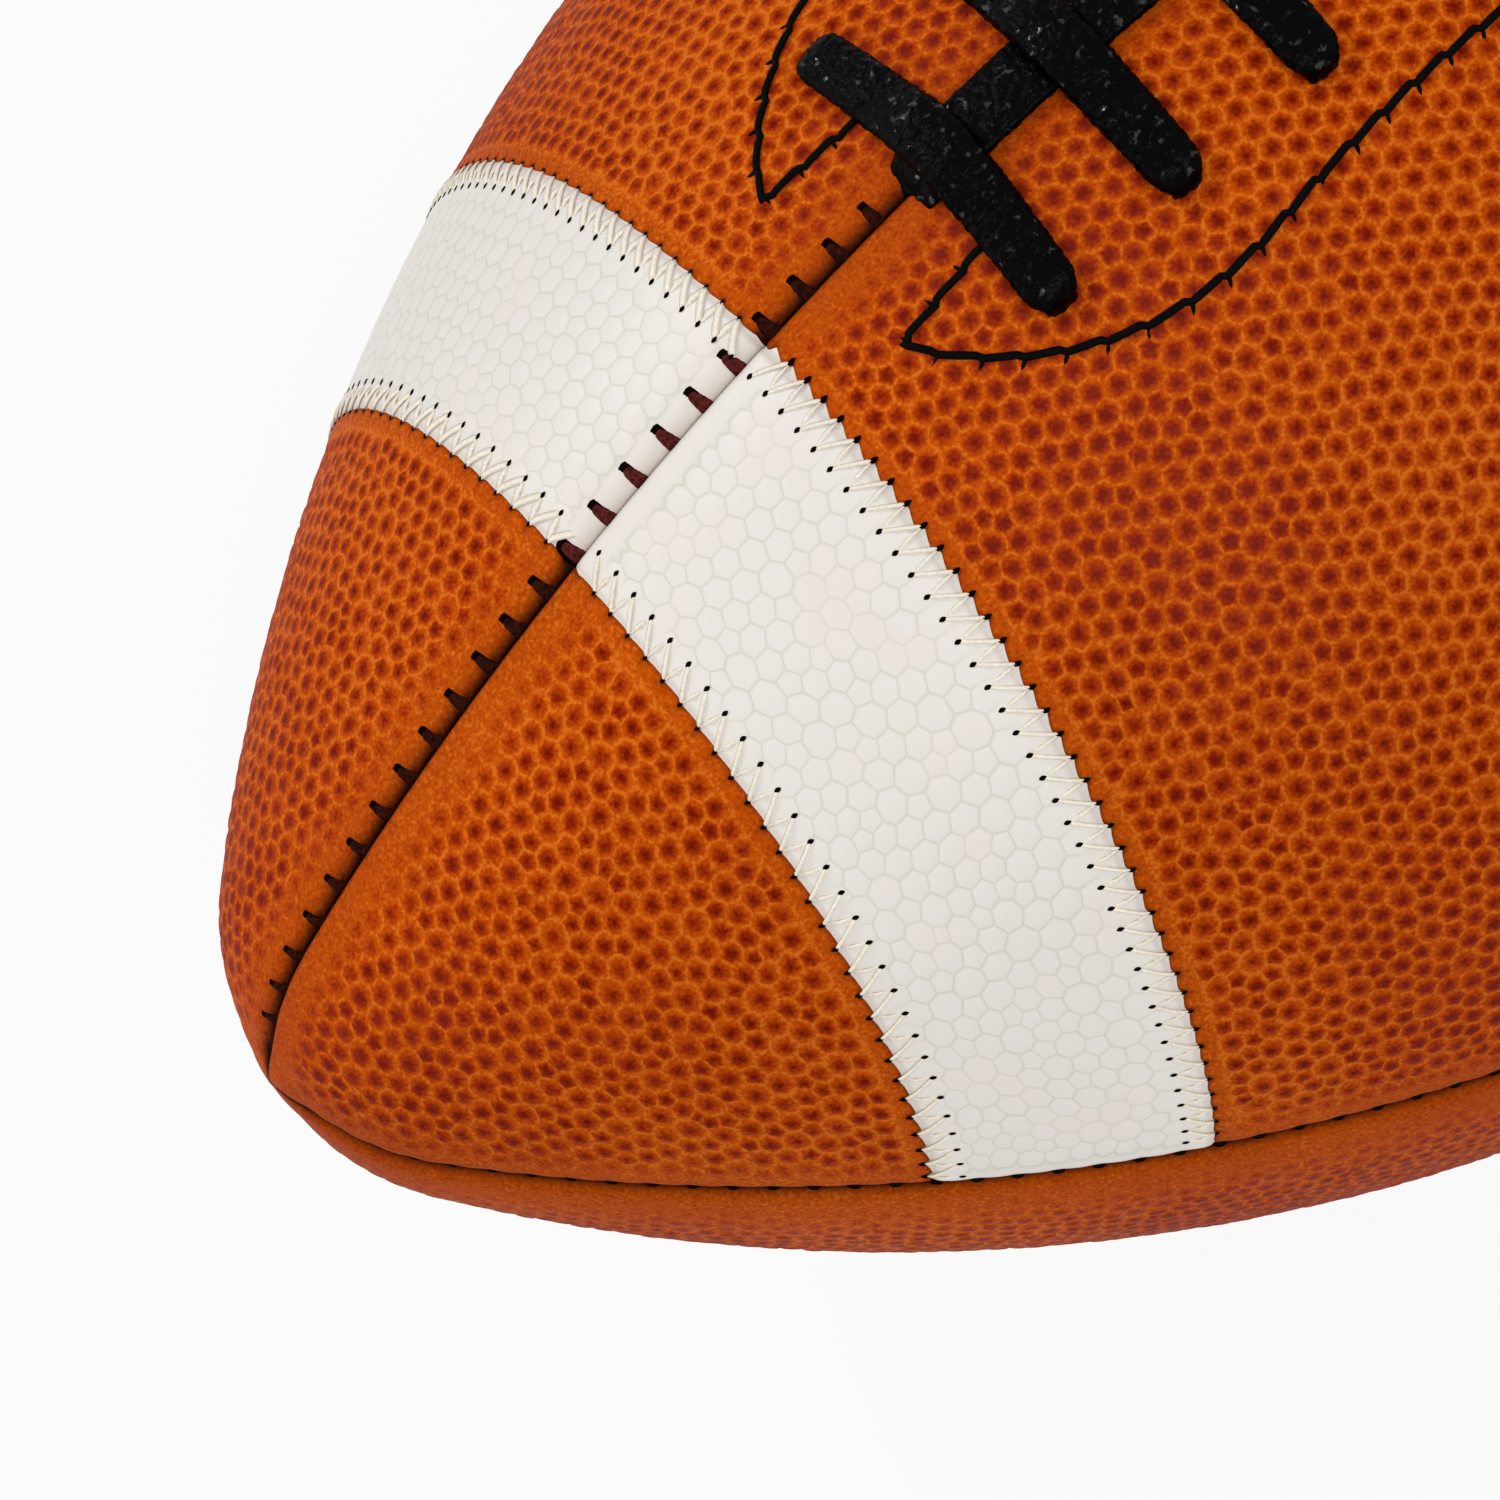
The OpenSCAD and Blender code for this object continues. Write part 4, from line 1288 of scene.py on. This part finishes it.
# %% The almond tree
def almond_tree():
    """A bead, pointed at both ends, that lies along each point's own direction."""
    board, given = new_tree("almonds", ["Length", "Width", "Thickness"])
    points = board.add("GeometryNodeMeshToPoints", {0: given["Line"]})
    bead = board.add("GeometryNodeMeshUVSphere", {"Segments": 8, "Rings": 6, "Radius": 0.5})
    place = board.add("GeometryNodeInputPosition")
    z = board.add("ShaderNodeSeparateXYZ", {0: place}, out="Z")
    taper = board.add("ShaderNodeMath", {0: 1 - 4 * z * z, 1: 0.0}, operation="MAXIMUM")
    taper = board.add("ShaderNodeMath", {0: taper, 1: 0.5}, operation="POWER")
    slim = board.add("ShaderNodeCombineXYZ", {0: taper, 1: taper, 2: 1.0})
    place = vector(board, "MULTIPLY", place, slim)
    bead = board.add("GeometryNodeSetPosition", {"Geometry": bead, "Position": place})
    along, up = carried(board, "along"), carried(board, "up")
    turned = board.add("FunctionNodeAlignRotationToVector", {"Vector": along}, axis="Z")
    turned = board.add(
        "FunctionNodeAlignRotationToVector", {"Rotation": turned, "Vector": up},
        axis="X", pivot_axis="Z",
    )
    size = {0: given["Thickness"], 1: given["Width"], 2: given["Length"]}
    size = board.add("ShaderNodeCombineXYZ", size)
    size = vector(board, "SCALE", size, carried(board, "girth", "FLOAT"))
    copies = board.add(
        "GeometryNodeInstanceOnPoints",
        {"Points": points, "Instance": bead, "Rotation": turned, "Scale": size},
    )
    return close_tree(board, copies, given)


ALMOND_TREE = almond_tree()
print("nodes:", len(ALMOND_TREE.nodes), "in the almond tree")

# %% [markdown]
# A zigzag stitch ties each stripe's edges to the tan leather. Its inner corners sit in small
# needle holes in the white, each marked by a black bead of painted shade. Its outer corners bite
# the edge of the tan leather, which looks toothed for it, with a dark slot of painted shade at
# every bite.

# %% Zigzag threads, their needle holes and their bites
DOT_INSET = 2.6 * MM
DEEP_TOOTH = 1.0 * MM
ZIGZAG_LIFT = 0.08 * MM
ZIGZAG_WIDTHS = {"near": 0.44 * MM, "far": 0.8 * MM}
ZIGZAG_SIZE = {"Thickness": 0.28 * MM, "Swing": 2 * MM, "Arch": 0.1 * MM, "Dive": 0.34 * MM}
HOLE_SINK = 0.06 * MM
HOLE_SIZE = {"Length": 0.8 * MM, "Width": 0.5 * MM, "Thickness": 0.16 * MM}
BITE_PAST = 0.12 * MM
BITE_SINK = 0.2 * MM
BITE_SIZE = {"Length": 1.15 * MM, "Width": 0.6 * MM, "Thickness": 0.3 * MM}


def edge_line(edge, inward, side):
    """Points halfway between the zigzag's corners, with the way up, the way in and the tooth."""
    radius = float(outline(edge)[0])
    pitch = ZIGZAG_PITCHES[abs(edge)]
    count = int((radius * math.pi / 2 - 2 * ZIGZAG_START) / pitch) * ZIGZAG_STEPS + 1
    local = (ZIGZAG_START + np.arange(count) * pitch / ZIGZAG_STEPS) / radius
    tooth = tooth_depth(side, edge, local)
    start, turn = ANGLES[side]
    angle = start + turn * local
    s = edge + inward * (DOT_INSET - tooth) / 2
    height = STRIPE_PROUD + ZIGZAG_LIFT - stripe_form(side)(s, local)[0]
    return place_at(s, angle, height), normal_at(s, angle), forward_at(s, angle) * inward, tooth


def almonds(name, points, up, along, girth, size):
    line = line_object(name, points, up, along, girth=girth)
    # Each bead is a dark mark of painted shade, where a hole or a slot is.
    grow(line, ALMOND_TREE, HOLE_SHADE, "brown_thread", **size)


def zigzag_row(label, edge, inward, side):
    """The thread along one edge of a stripe, and the holes and bites that it makes."""
    points, up, inwards, tooth = edge_line(edge, inward, side)
    swing = inwards * (DOT_INSET + tooth)[:, None] / 2
    line = line_object("zigzag" + label, points, up, swing / MM)
    width = ZIGZAG_WIDTHS[side]
    thread = grow(line, ZIGZAG_TREE, CREAM, "cream_thread", Width=width, **ZIGZAG_SIZE)
    dots, bites = slice(0, None, ZIGZAG_STEPS), slice(TOOTH_STEP, None, ZIGZAG_STEPS)
    spots = points[dots] + swing[dots] - up[dots] * HOLE_SINK
    almonds("needle_holes" + label, spots, up[dots], inwards[dots], None, HOLE_SIZE)
    slots = points[bites] - swing[bites] - inwards[bites] * BITE_PAST - up[bites] * BITE_SINK
    girth = 0.5 + 0.5 * tooth[bites] / DEEP_TOOTH
    almonds("bites" + label, slots, up[bites], inwards[bites], girth, BITE_SIZE)
    return thread


for side in ("near", "far"):
    for end, sign in (("nose", -1), ("tail", 1)):
        for row, edge, inward in (("inner", STRIPE_NEAR, sign), ("outer", STRIPE_FAR, -sign)):
            thread = zigzag_row("_" + end + "_" + side + "_" + row, sign * edge, inward, side)
            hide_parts(end + "_zigzag_" + side)

# %% [markdown]
# Through each seam runs one heavy thread. The top seam is closed last, from outside, so there
# each stitch comes out of a slit and dives down the rolled edge into the seam. The other seams
# are sewn from inside, and show only a short dark dash of thread on either side. Each stitch is
# a short run of points on the leather, swept by the thread tree.

# %% Where a stitch lies
SEAM_END = HALF_ARC - 8 * MM
FULL_STITCH_R = 50 * MM
SMALL_STITCH_SHARE = 0.72
NORMAL_STEP = 0.05 * MM
SPAN_MARGIN = 1e-6


def stitch_line(seam, path, sway, s_from, s_to, lift):
    """One short run of points for each stitch, on the panel towards sway."""
    along, across, girth = path.T
    first = math.ceil(s_from / seam["pitch"] - 0.5) + 0.5
    middle = np.arange(first, s_to / seam["pitch"] - SPAN_MARGIN) * seam["pitch"]
    full = ease(outline(middle)[0] / FULL_STITCH_R)
    size = np.repeat(SMALL_STITCH_SHARE + (1 - SMALL_STITCH_SHARE) * full, len(along))
    lateral = size * np.tile(across, len(middle))
    s = np.repeat(middle, len(along)) + size * np.tile(along, len(middle))
    radius = np.maximum(outline(s)[0], TIP_FIELD)
    proud = np.where((np.abs(s) > STRIPE_NEAR) & (np.abs(s) < STRIPE_FAR), STRIPE_PROUD, 0)

    def at(distance):
        local = distance / radius
        depth = seam_form(s, local, seam["edge"])[0]
        return place_at(s, seam["angle"] + sway * local, lift + proud - depth)

    forward = forward_at(s, seam["angle"] + sway * lateral / radius)
    out = -sway * np.cross(forward, at(lateral + NORMAL_STEP) - at(lateral - NORMAL_STEP))
    out /= np.linalg.norm(out, axis=1)[:, None]
    return at(lateral), out, forward, np.tile(girth, len(middle)) * size


print("room from tip to tip for", int(2 * SEAM_END / SEAM_STITCH), "stitches of the top seam")

# %% [markdown]
# A stitch has two layers: a slit of painted shade, and a narrower thread a little above it. The
# top seam's stitches run down into the valley, thinnest where they come out. On the tan leather
# their thread is the brown one painted darker, as painted shade, and on the white stripes it
# stays brown.

# %% Seam stitches that show
TOP_REACH = 2.8 * MM
TOP_LEAN = -0.1
TOP_SHARES = np.array([
    (1, 0.25), (0.95, 0.5), (0.82, 0.67), (0.62, 0.82), (0.42, 0.93), (0.22, 1), (0.05, 1.03),
])
SIDE_LENGTH = 1.3 * MM
SIDE_LATERAL = 0.38 * MM
SIDE_SHARES = np.array([(-0.5, 0.15), (-0.3, 0.8), (0, 1), (0.3, 0.8), (0.5, 0.15)])
TAN_SPANS = [
    (-SEAM_END, -STRIPE_FAR), (-STRIPE_NEAR, -LACING_END),
    (LACING_END, STRIPE_NEAR), (STRIPE_FAR, SEAM_END),
]
WHITE_SPANS = [(-STRIPE_FAR, -STRIPE_NEAR), (STRIPE_NEAR, STRIPE_FAR)]
LAYERS = {
    "slits_": {"share": 1.0, "slim": 1.0, "thickness": 0.2 * MM, "lift": 0.02 * MM},
    "stitches_": {"share": 0.76, "slim": 0.7, "thickness": 0.36 * MM, "lift": 0.1 * MM},
}

across, girth = TOP_SHARES.T
top_path = np.stack([TOP_LEAN * TOP_REACH * across, TOP_REACH * across, girth], -1)
along, girth = SIDE_SHARES.T
side_path = np.stack([SIDE_LENGTH * along, SIDE_LATERAL + 0 * along, girth], -1)
top_seam = {
    "angle": 0.0, "pitch": SEAM_STITCH, "path": top_path, "width": 2.3 * MM,
    "edge": "soft", "sways": (-1,),
}
SEAMS = {
    "top": {**top_seam, "thread": SHADED_THREAD, "spans": TAN_SPANS},
    "top_stripe": {**top_seam, "thread": BROWN_THREAD, "spans": WHITE_SPANS},
}
for name, angle in (("near", math.pi / 2), ("far", -math.pi / 2), ("belly", math.pi)):
    SEAMS[name] = {
        "angle": angle, "pitch": SIDE_STITCH, "path": side_path, "width": 0.62 * MM,
        "edge": "plain", "sways": (-1, 1), "thread": BLACK_THREAD,
        "spans": [(-SEAM_END, SEAM_END)],
    }


def stitch_layer(name, seam, material, layer):
    """One layer of all the stitches in a seam, as one piece."""
    path = seam["path"] * [layer["share"], layer["share"], 1]
    ways = [(sway, *span, layer["lift"]) for span in seam["spans"] for sway in seam["sways"]]
    runs = [stitch_line(seam, path, *way) for way in ways]
    points, up, along, girth = (np.concatenate([run[k] for run in runs]) for k in range(4))
    line = line_object(name, points, up, along, len(path), girth)
    width, thickness = seam["width"] * layer["slim"], layer["thickness"]
    grow(line, THREAD_TREE, material, "brown_thread", Width=width, Thickness=thickness)


for name, seam in SEAMS.items():
    for kind, layer in LAYERS.items():
        stitch_layer(kind + name, seam, HOLE_SHADE if kind == "slits_" else seam["thread"], layer)

# %% [markdown]
# A black thread outlines the lacing and holds the patches behind it. Its path is a smooth curve
# through a few points, given as shares of its length and width, with a sharp corner at the
# second one. The other half of the path is its mirror image.

# %% The path of the outline
OUTLINE_LENGTH = 69.2 * MM
OUTLINE_W = 27 * MM
OUTLINE_STEP = 0.5 * MM
PIECES_PER_SPAN = 12
OUTLINE_SHARES = np.array([
    (0.82, 0.342), (1, 0.39), (0.965, 0.53), (0.9, 0.7), (0.81, 0.86), (0.7, 0.97),
    (0.58, 1), (0.42, 0.95), (0.21, 0.9), (0, 0.89),
])


def smooth_through(points, per):
    """A curve through points that leaves the corner at the second one sharp."""
    arc = points[1:]
    before = np.vstack([2 * arc[:1] - arc[1:2], arc[:-2]])
    after = np.vstack([arc[2:], arc[-2:-1] * [-1, 1]])
    steps = np.linspace(0, 1, per, endpoint=False)
    out = [points[0] + (points[1] - points[0]) * t for t in steps]
    for p0, p1, p2, p3 in zip(before, arc[:-1], arc[1:], after):
        for t in steps:
            square = (2 * p0 - 5 * p1 + 4 * p2 - p3) * t ** 2
            cube = (3 * p1 - p0 - 3 * p2 + p3) * t ** 3
            out.append(0.5 * (2 * p1 + (p2 - p0) * t + square + cube))
    return np.array(out + [arc[-1]])


def evenly(path, step):
    """The same path in even steps, and how far along it each one is."""
    run = np.concatenate([[0], np.cumsum(np.linalg.norm(np.diff(path, axis=0), axis=1))])
    places = np.linspace(0, run[-1], int(round(run[-1] / step)) + 1)
    return np.stack([np.interp(places, run, path[:, k]) for k in range(2)], -1), places


half = smooth_through(OUTLINE_SHARES * [OUTLINE_LENGTH, OUTLINE_W], PIECES_PER_SPAN)
whole = np.vstack([half, (half[:-1] * [-1, 1])[::-1]])
OUTLINE, OUTLINE_RUN = evenly(whole, OUTLINE_STEP)
print("outline thread:", round(OUTLINE_RUN[-1] / MM), "mm on each panel")

# %% [markdown]
# The outline is a backstitch: at each needle hole it kinks and dips a little, and a short tail
# points away from the lacing.

# %% Outline of the lacing
OUTLINE_STITCH = 4.1 * MM
OUTLINE_LIFT = 0.1 * MM
OUTLINE_SIZE = {"Width": 0.78 * MM, "Thickness": 0.6 * MM}
KINK = 0.4 * MM
KINK_DIP = 0.25 * MM
KINK_DIP_W = 0.5 * MM
TAIL_OUT = 0.5 * MM
TAIL_SINK = 0.06 * MM
TAIL_LEAN = 0.2
TAIL_SIZE = {"Length": 1.5 * MM, "Width": 0.46 * MM, "Thickness": 0.36 * MM}


def outline_line(side):
    """The thread's points on one panel, with the way up and the way along."""
    start, turn = ANGLES[side]
    s, lateral = OUTLINE.T
    kink = (OUTLINE_RUN / OUTLINE_STITCH) % 1
    local = (lateral + (kink - 0.5) * KINK) / outline(s)[0]
    dip = KINK_DIP * hump(np.minimum(kink, 1 - kink) * OUTLINE_STITCH / KINK_DIP_W)
    height = OUTLINE_LIFT - laced_form(side)(s, local)[0] - dip
    points = place_at(s, start + turn * local, height)
    along = np.gradient(points, axis=0)
    along /= np.linalg.norm(along, axis=1)[:, None]
    return points, normal_at(s, start + turn * local), along


for side in ("near", "far"):
    name = "lace_outline_" + side
    points, up, along = outline_line(side)
    line = line_object(name + "_thread", points, up, along)
    thread = grow(line, THREAD_TREE, BLACK_THREAD, "black_thread", **OUTLINE_SIZE)
    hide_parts(name)
    at = np.flatnonzero(np.diff(np.floor(OUTLINE_RUN / OUTLINE_STITCH)) > 0)
    outward = np.cross(up[at], along[at]) * ANGLES[side][1]
    tips = points[at] + outward * TAIL_OUT - up[at] * TAIL_SINK
    tails = line_object(name + "_tails", tips, up[at], outward + TAIL_LEAN * along[at])
    grow(tails, ALMOND_TREE, BLACK_THREAD, "black_thread", **TAIL_SIZE)

# %% [markdown]
# The lace is one strip of grained black leather. A strap tree sweeps a crowned section along a
# line, with its face kept towards up, and presses a cobbled grain into it.

# %% The strap tree
CORNER_POINTS = 5
GRAIN_PER_METRE = 1000.0
CREASE_SHARE = 0.3


def strap_section(board, given):
    """A rectangle with round corners, thinner at its edges than in its middle."""
    size = {"Width": given["Thickness"], "Height": given["Width"]}
    section = board.add("GeometryNodeCurvePrimitiveQuadrilateral", size)
    corners = {"Curve": section, "Radius": given["Corner"], "Count": CORNER_POINTS}
    section = board.add("GeometryNodeFilletCurve", corners, mode="POLY")
    steps = {"Curve": section, "Length": given["Step"]}
    section = board.add("GeometryNodeResampleCurve", steps, mode="LENGTH")
    place = board.add("GeometryNodeInputPosition")
    y = board.add("ShaderNodeSeparateXYZ", {0: place}, out="Y")
    edge = board.add("ShaderNodeMath", {0: y, 1: given["Width"]}, operation="DIVIDE")
    crown = 1 - 4 * edge * edge * given["Crown"]
    squeeze = board.add("ShaderNodeCombineXYZ", {0: crown, 1: 1.0, 2: 1.0})
    place = vector(board, "MULTIPLY", place, squeeze)
    return board.add("GeometryNodeSetPosition", {"Geometry": section, "Position": place})


def strap_tree():
    board, given = new_tree("strap", ["Width", "Thickness", "Corner", "Crown", "Step", "Grain"])
    curve = board.add("GeometryNodeMeshToCurve", {0: given["Line"]})
    steps = {"Curve": curve, "Length": given["Step"]}
    curve = board.add("GeometryNodeResampleCurve", steps, mode="LENGTH")
    upright = {"Curve": curve, "Normal": carried(board, "up")}
    curve = board.add("GeometryNodeSetCurveNormal", upright, mode="FREE")
    strap = board.add("GeometryNodeCurveToMesh", {
        "Curve": curve, "Profile Curve": strap_section(board, given), "Fill Caps": True,
        "Scale": carried(board, "girth", "FLOAT"),
    })
    cell = board.add(
        "ShaderNodeTexVoronoi", {"Scale": GRAIN_PER_METRE, "Randomness": 0.9},
        out="Distance", feature="DISTANCE_TO_EDGE",
    )
    crease = board.spread(cell, 0.0, CREASE_SHARE, -1.0, 0.0, interpolation_type="SMOOTHSTEP")
    normal = board.add("GeometryNodeInputNormal")
    press = vector(board, "SCALE", normal, crease * given["Grain"])
    strap = board.add("GeometryNodeSetPosition", {"Geometry": strap, "Offset": press})
    return close_tree(board, strap, given)


STRAP_TREE = strap_tree()
print("nodes:", len(STRAP_TREE.nodes), "in the strap tree")

# %% [markdown]
# The runner lies in the seam and dives into it at both ends. Each crossbar goes over the runner
# and down through a hole on either side, and narrows where it is squeezed into the hole. The end
# bars are drawn towards the middle, and lean where the runner passes.

# %% Runner and crossbars
RUNNER_T = 1.4 * MM
RUNNER_PAST = 5 * MM
RUNNER_POINTS = 160
RUNNER_SINK = 0.2 * MM
RUNNER_DIVE = 3.4 * MM
RUNNER_NARROWING = 0.25
BAR_T = 2.6 * MM
BAR_BEND = 1.8 * MM
BAR_REACH = 18.3 * MM
BAR_FLAT_POINTS = 40
BAR_BEND_POINTS = 9
BAR_HEIGHT = BAR_T / 2 - 0.1 * MM
BAR_HEIGHT_OVER = RUNNER_T + BAR_T / 2 - 0.3 * MM
BAR_ARCH_W = 5.6 * MM
BAR_GIRTH = 1.12
BAR_TAPER = 0.16
HOLE_SQUEEZE = 0.36
END_PULL = 0.85 * MM
END_LEAN = 1.2 * MM
RUNNER_SIZE = {
    "Width": 7 * MM, "Thickness": RUNNER_T, "Corner": 0.5 * MM, "Crown": 0.2,
    "Step": 0.3 * MM, "Grain": 0.12 * MM,
}
BAR_SIZE = {
    "Width": 5.7 * MM, "Thickness": BAR_T, "Corner": 1.1 * MM, "Crown": 0.25,
    "Step": 0.3 * MM, "Grain": 0.16 * MM,
}


def runner_line():
    s = np.linspace(-LACING_HALF - RUNNER_PAST, LACING_HALF + RUNNER_PAST, RUNNER_POINTS)
    past = ease(np.maximum(np.abs(s) - LACING_HALF, 0) / RUNNER_PAST)
    height = RUNNER_T / 2 - RUNNER_SINK - RUNNER_DIVE * past ** 1.5
    return place_at(s, 0 * s, height), normal_at(s, 0 * s), 1 - RUNNER_NARROWING * past


def half_bar():
    """Half a crossbar: over the runner, along the leather, round a bend and down a hole."""
    flat = np.linspace(0, BAR_REACH - BAR_BEND, BAR_FLAT_POINTS)
    turn = np.linspace(0, math.pi / 2, BAR_BEND_POINTS)[1:]
    down = np.array([1, 2, 3]) * MM
    lateral = np.concatenate([flat, flat[-1] + BAR_BEND * np.sin(turn), BAR_REACH + 0 * down])
    arch = (BAR_HEIGHT_OVER - BAR_HEIGHT) * hump((flat / BAR_ARCH_W) ** 2)
    bend = BAR_HEIGHT - BAR_BEND * (1 - np.cos(turn))
    height = np.concatenate([BAR_HEIGHT + arch, bend, BAR_HEIGHT - BAR_BEND - down])
    squeezed = ease(np.concatenate([turn / (math.pi / 2), np.ones(len(down))]))
    girth = BAR_GIRTH - BAR_TAPER * lateral / BAR_REACH
    girth[len(flat):] *= 1 - HOLE_SQUEEZE * squeezed
    return lateral, height, girth


def bar_line(s_bar):
    """A whole crossbar's points, with the way up and the girth."""
    lateral, height, girth = half_bar()
    lateral = np.concatenate([-lateral[:0:-1], lateral])
    height, girth = (np.concatenate([values[:0:-1], values]) for values in (height, girth))
    angle = lateral / float(outline(s_bar)[0])
    pull = END_PULL + END_LEAN * np.clip(1 - np.abs(lateral) / BAR_REACH, 0, 1)
    if abs(s_bar) != LACING_HALF:
        pull = 0 * lateral
    s = s_bar - math.copysign(1, s_bar) * pull
    points = place_at(s, angle, height)
    up = np.cross(np.gradient(points, axis=0), forward_at(s, angle))
    up /= np.linalg.norm(up, axis=1)[:, None]
    return points, up * np.sign(up[len(up) // 2, 2]), girth


def strap(name, points, up, girth, size):
    line = line_object(name, points, up, up, girth=girth)
    piece = grow(line, STRAP_TREE, LACE, "black_lace", **size)
    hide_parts("lace")


strap("lace_runner", *runner_line(), RUNNER_SIZE)
for k in range(BAR_COUNT):
    strap("lace_bar_" + str(k + 1), *bar_line(k * BAR_PITCH - LACING_HALF), BAR_SIZE)

# %% [markdown]
# The pieces inside don't show, but they are part of the ball and keep their exact shapes. They
# only get their own finishes, and so do the threads that run through the seams.

# %% Finishes of the inner pieces
INNER = {
    "lining": LINING, "patch": CANVAS, "guard": CANVAS, "seam_thread": BROWN_THREAD,
    "bladder": RUBBER, "valve": RUBBER,
}
for name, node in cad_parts.items():
    for word, material in INNER.items():
        if word in name:
            node.data.materials.clear()
            node.data.materials.append(material)
            print(name, "is finished in", material.name)

# %% [markdown]
# The ball stands on a pale floor in soft light. The floor is part white by its own colour and
# part by a glow that only the camera and reflections see, so it looks white and still takes a
# shadow, and the lamps stay at a plain level. The sky behind it does the same.

# %% Floor and sky
FLOOR_SIZE = 3.0
FLOOR_GREY = 0.82
FLOOR_GLOW = 0.9
SKY_LIGHT = 0.5
WHITE_LIGHT = (1, 1, 1, 1)


def seen_rays(board):
    """1 for rays that the camera sees directly, in a reflection or through glass."""
    camera_rays, glossy, through = (
        board.add("ShaderNodeLightPath", out="Is " + kind + " Ray")
        for kind in ("Camera", "Glossy", "Transmission")
    )
    rays = {0: camera_rays + glossy + through, 1: 1.0}
    return board.add("ShaderNodeMath", rays, operation="MINIMUM")


def floor_material():
    material, board, shader = new_material("floor", Roughness=0.9)
    shader.inputs["Base Color"].default_value = (FLOOR_GREY, FLOOR_GREY, FLOOR_GREY, 1)
    seen = seen_rays(board)
    glow = board.add("ShaderNodeEmission", {"Color": WHITE_LIGHT, "Strength": 1.0})
    plain = Wire(board, shader.outputs[0])
    mixed = board.add("ShaderNodeMixShader", {0: seen * FLOOR_GLOW, 1: plain, 2: glow})
    board.tree.links.new(mixed.socket, board.tree.nodes["Material Output"].inputs["Surface"])
    return material


corners = np.array([(-1, -1, 0), (1, -1, 0), (1, 1, 0), (-1, 1, 0)]) * FLOOR_SIZE
floor = mesh_object("floor", corners, np.array([(0, 1, 2), (0, 2, 3)]), floor_material())

world = bpy.data.worlds.new("studio")
bpy.context.scene.world = world
world.use_nodes = True
sky = Board(world.node_tree)
background = world.node_tree.nodes["Background"]
background.inputs["Color"].default_value = WHITE_LIGHT
plug(sky, SKY_LIGHT + seen_rays(sky) * (1 - SKY_LIGHT), background, "Strength")
print("floor:", 2 * FLOOR_SIZE, "m wide, and the sky at", SKY_LIGHT)

# %% [markdown]
# Three round lamps light the ball. The key is small, so that the pebbles throw crisp shadows.
# The rim lights the edge away from the camera, and the fill is wide and soft.

# %% Lamps
BALL_MIDDLE = Vector((0, 0, BALL_R))
LAMPS = {
    "key": {"place": (-0.55, 0.75, 0.95), "size": 0.2, "watts": 3.6},
    "rim": {"place": (-1.1, 0.65, 0.3), "size": 0.25, "watts": 1.6},
    "fill": {"place": (-0.35, -0.85, 1.1), "size": 0.6, "watts": 7},
}
for name, lamp in LAMPS.items():
    light = bpy.data.lights.new(name, "AREA")
    light.shape = "DISK"
    light.size = lamp["size"]
    light.energy = lamp["watts"]
    stand = placed(name, light)
    stand.location = lamp["place"]
    facing = (BALL_MIDDLE - Vector(lamp["place"])).to_track_quat("-Z", "Y")
    stand.rotation_euler = facing.to_euler()
    print(name, "lamp:", lamp["watts"], "W")

# %% [markdown]
# The render keeps plain colours.

# %% Finish
bpy.context.scene.view_settings.view_transform = "Standard"
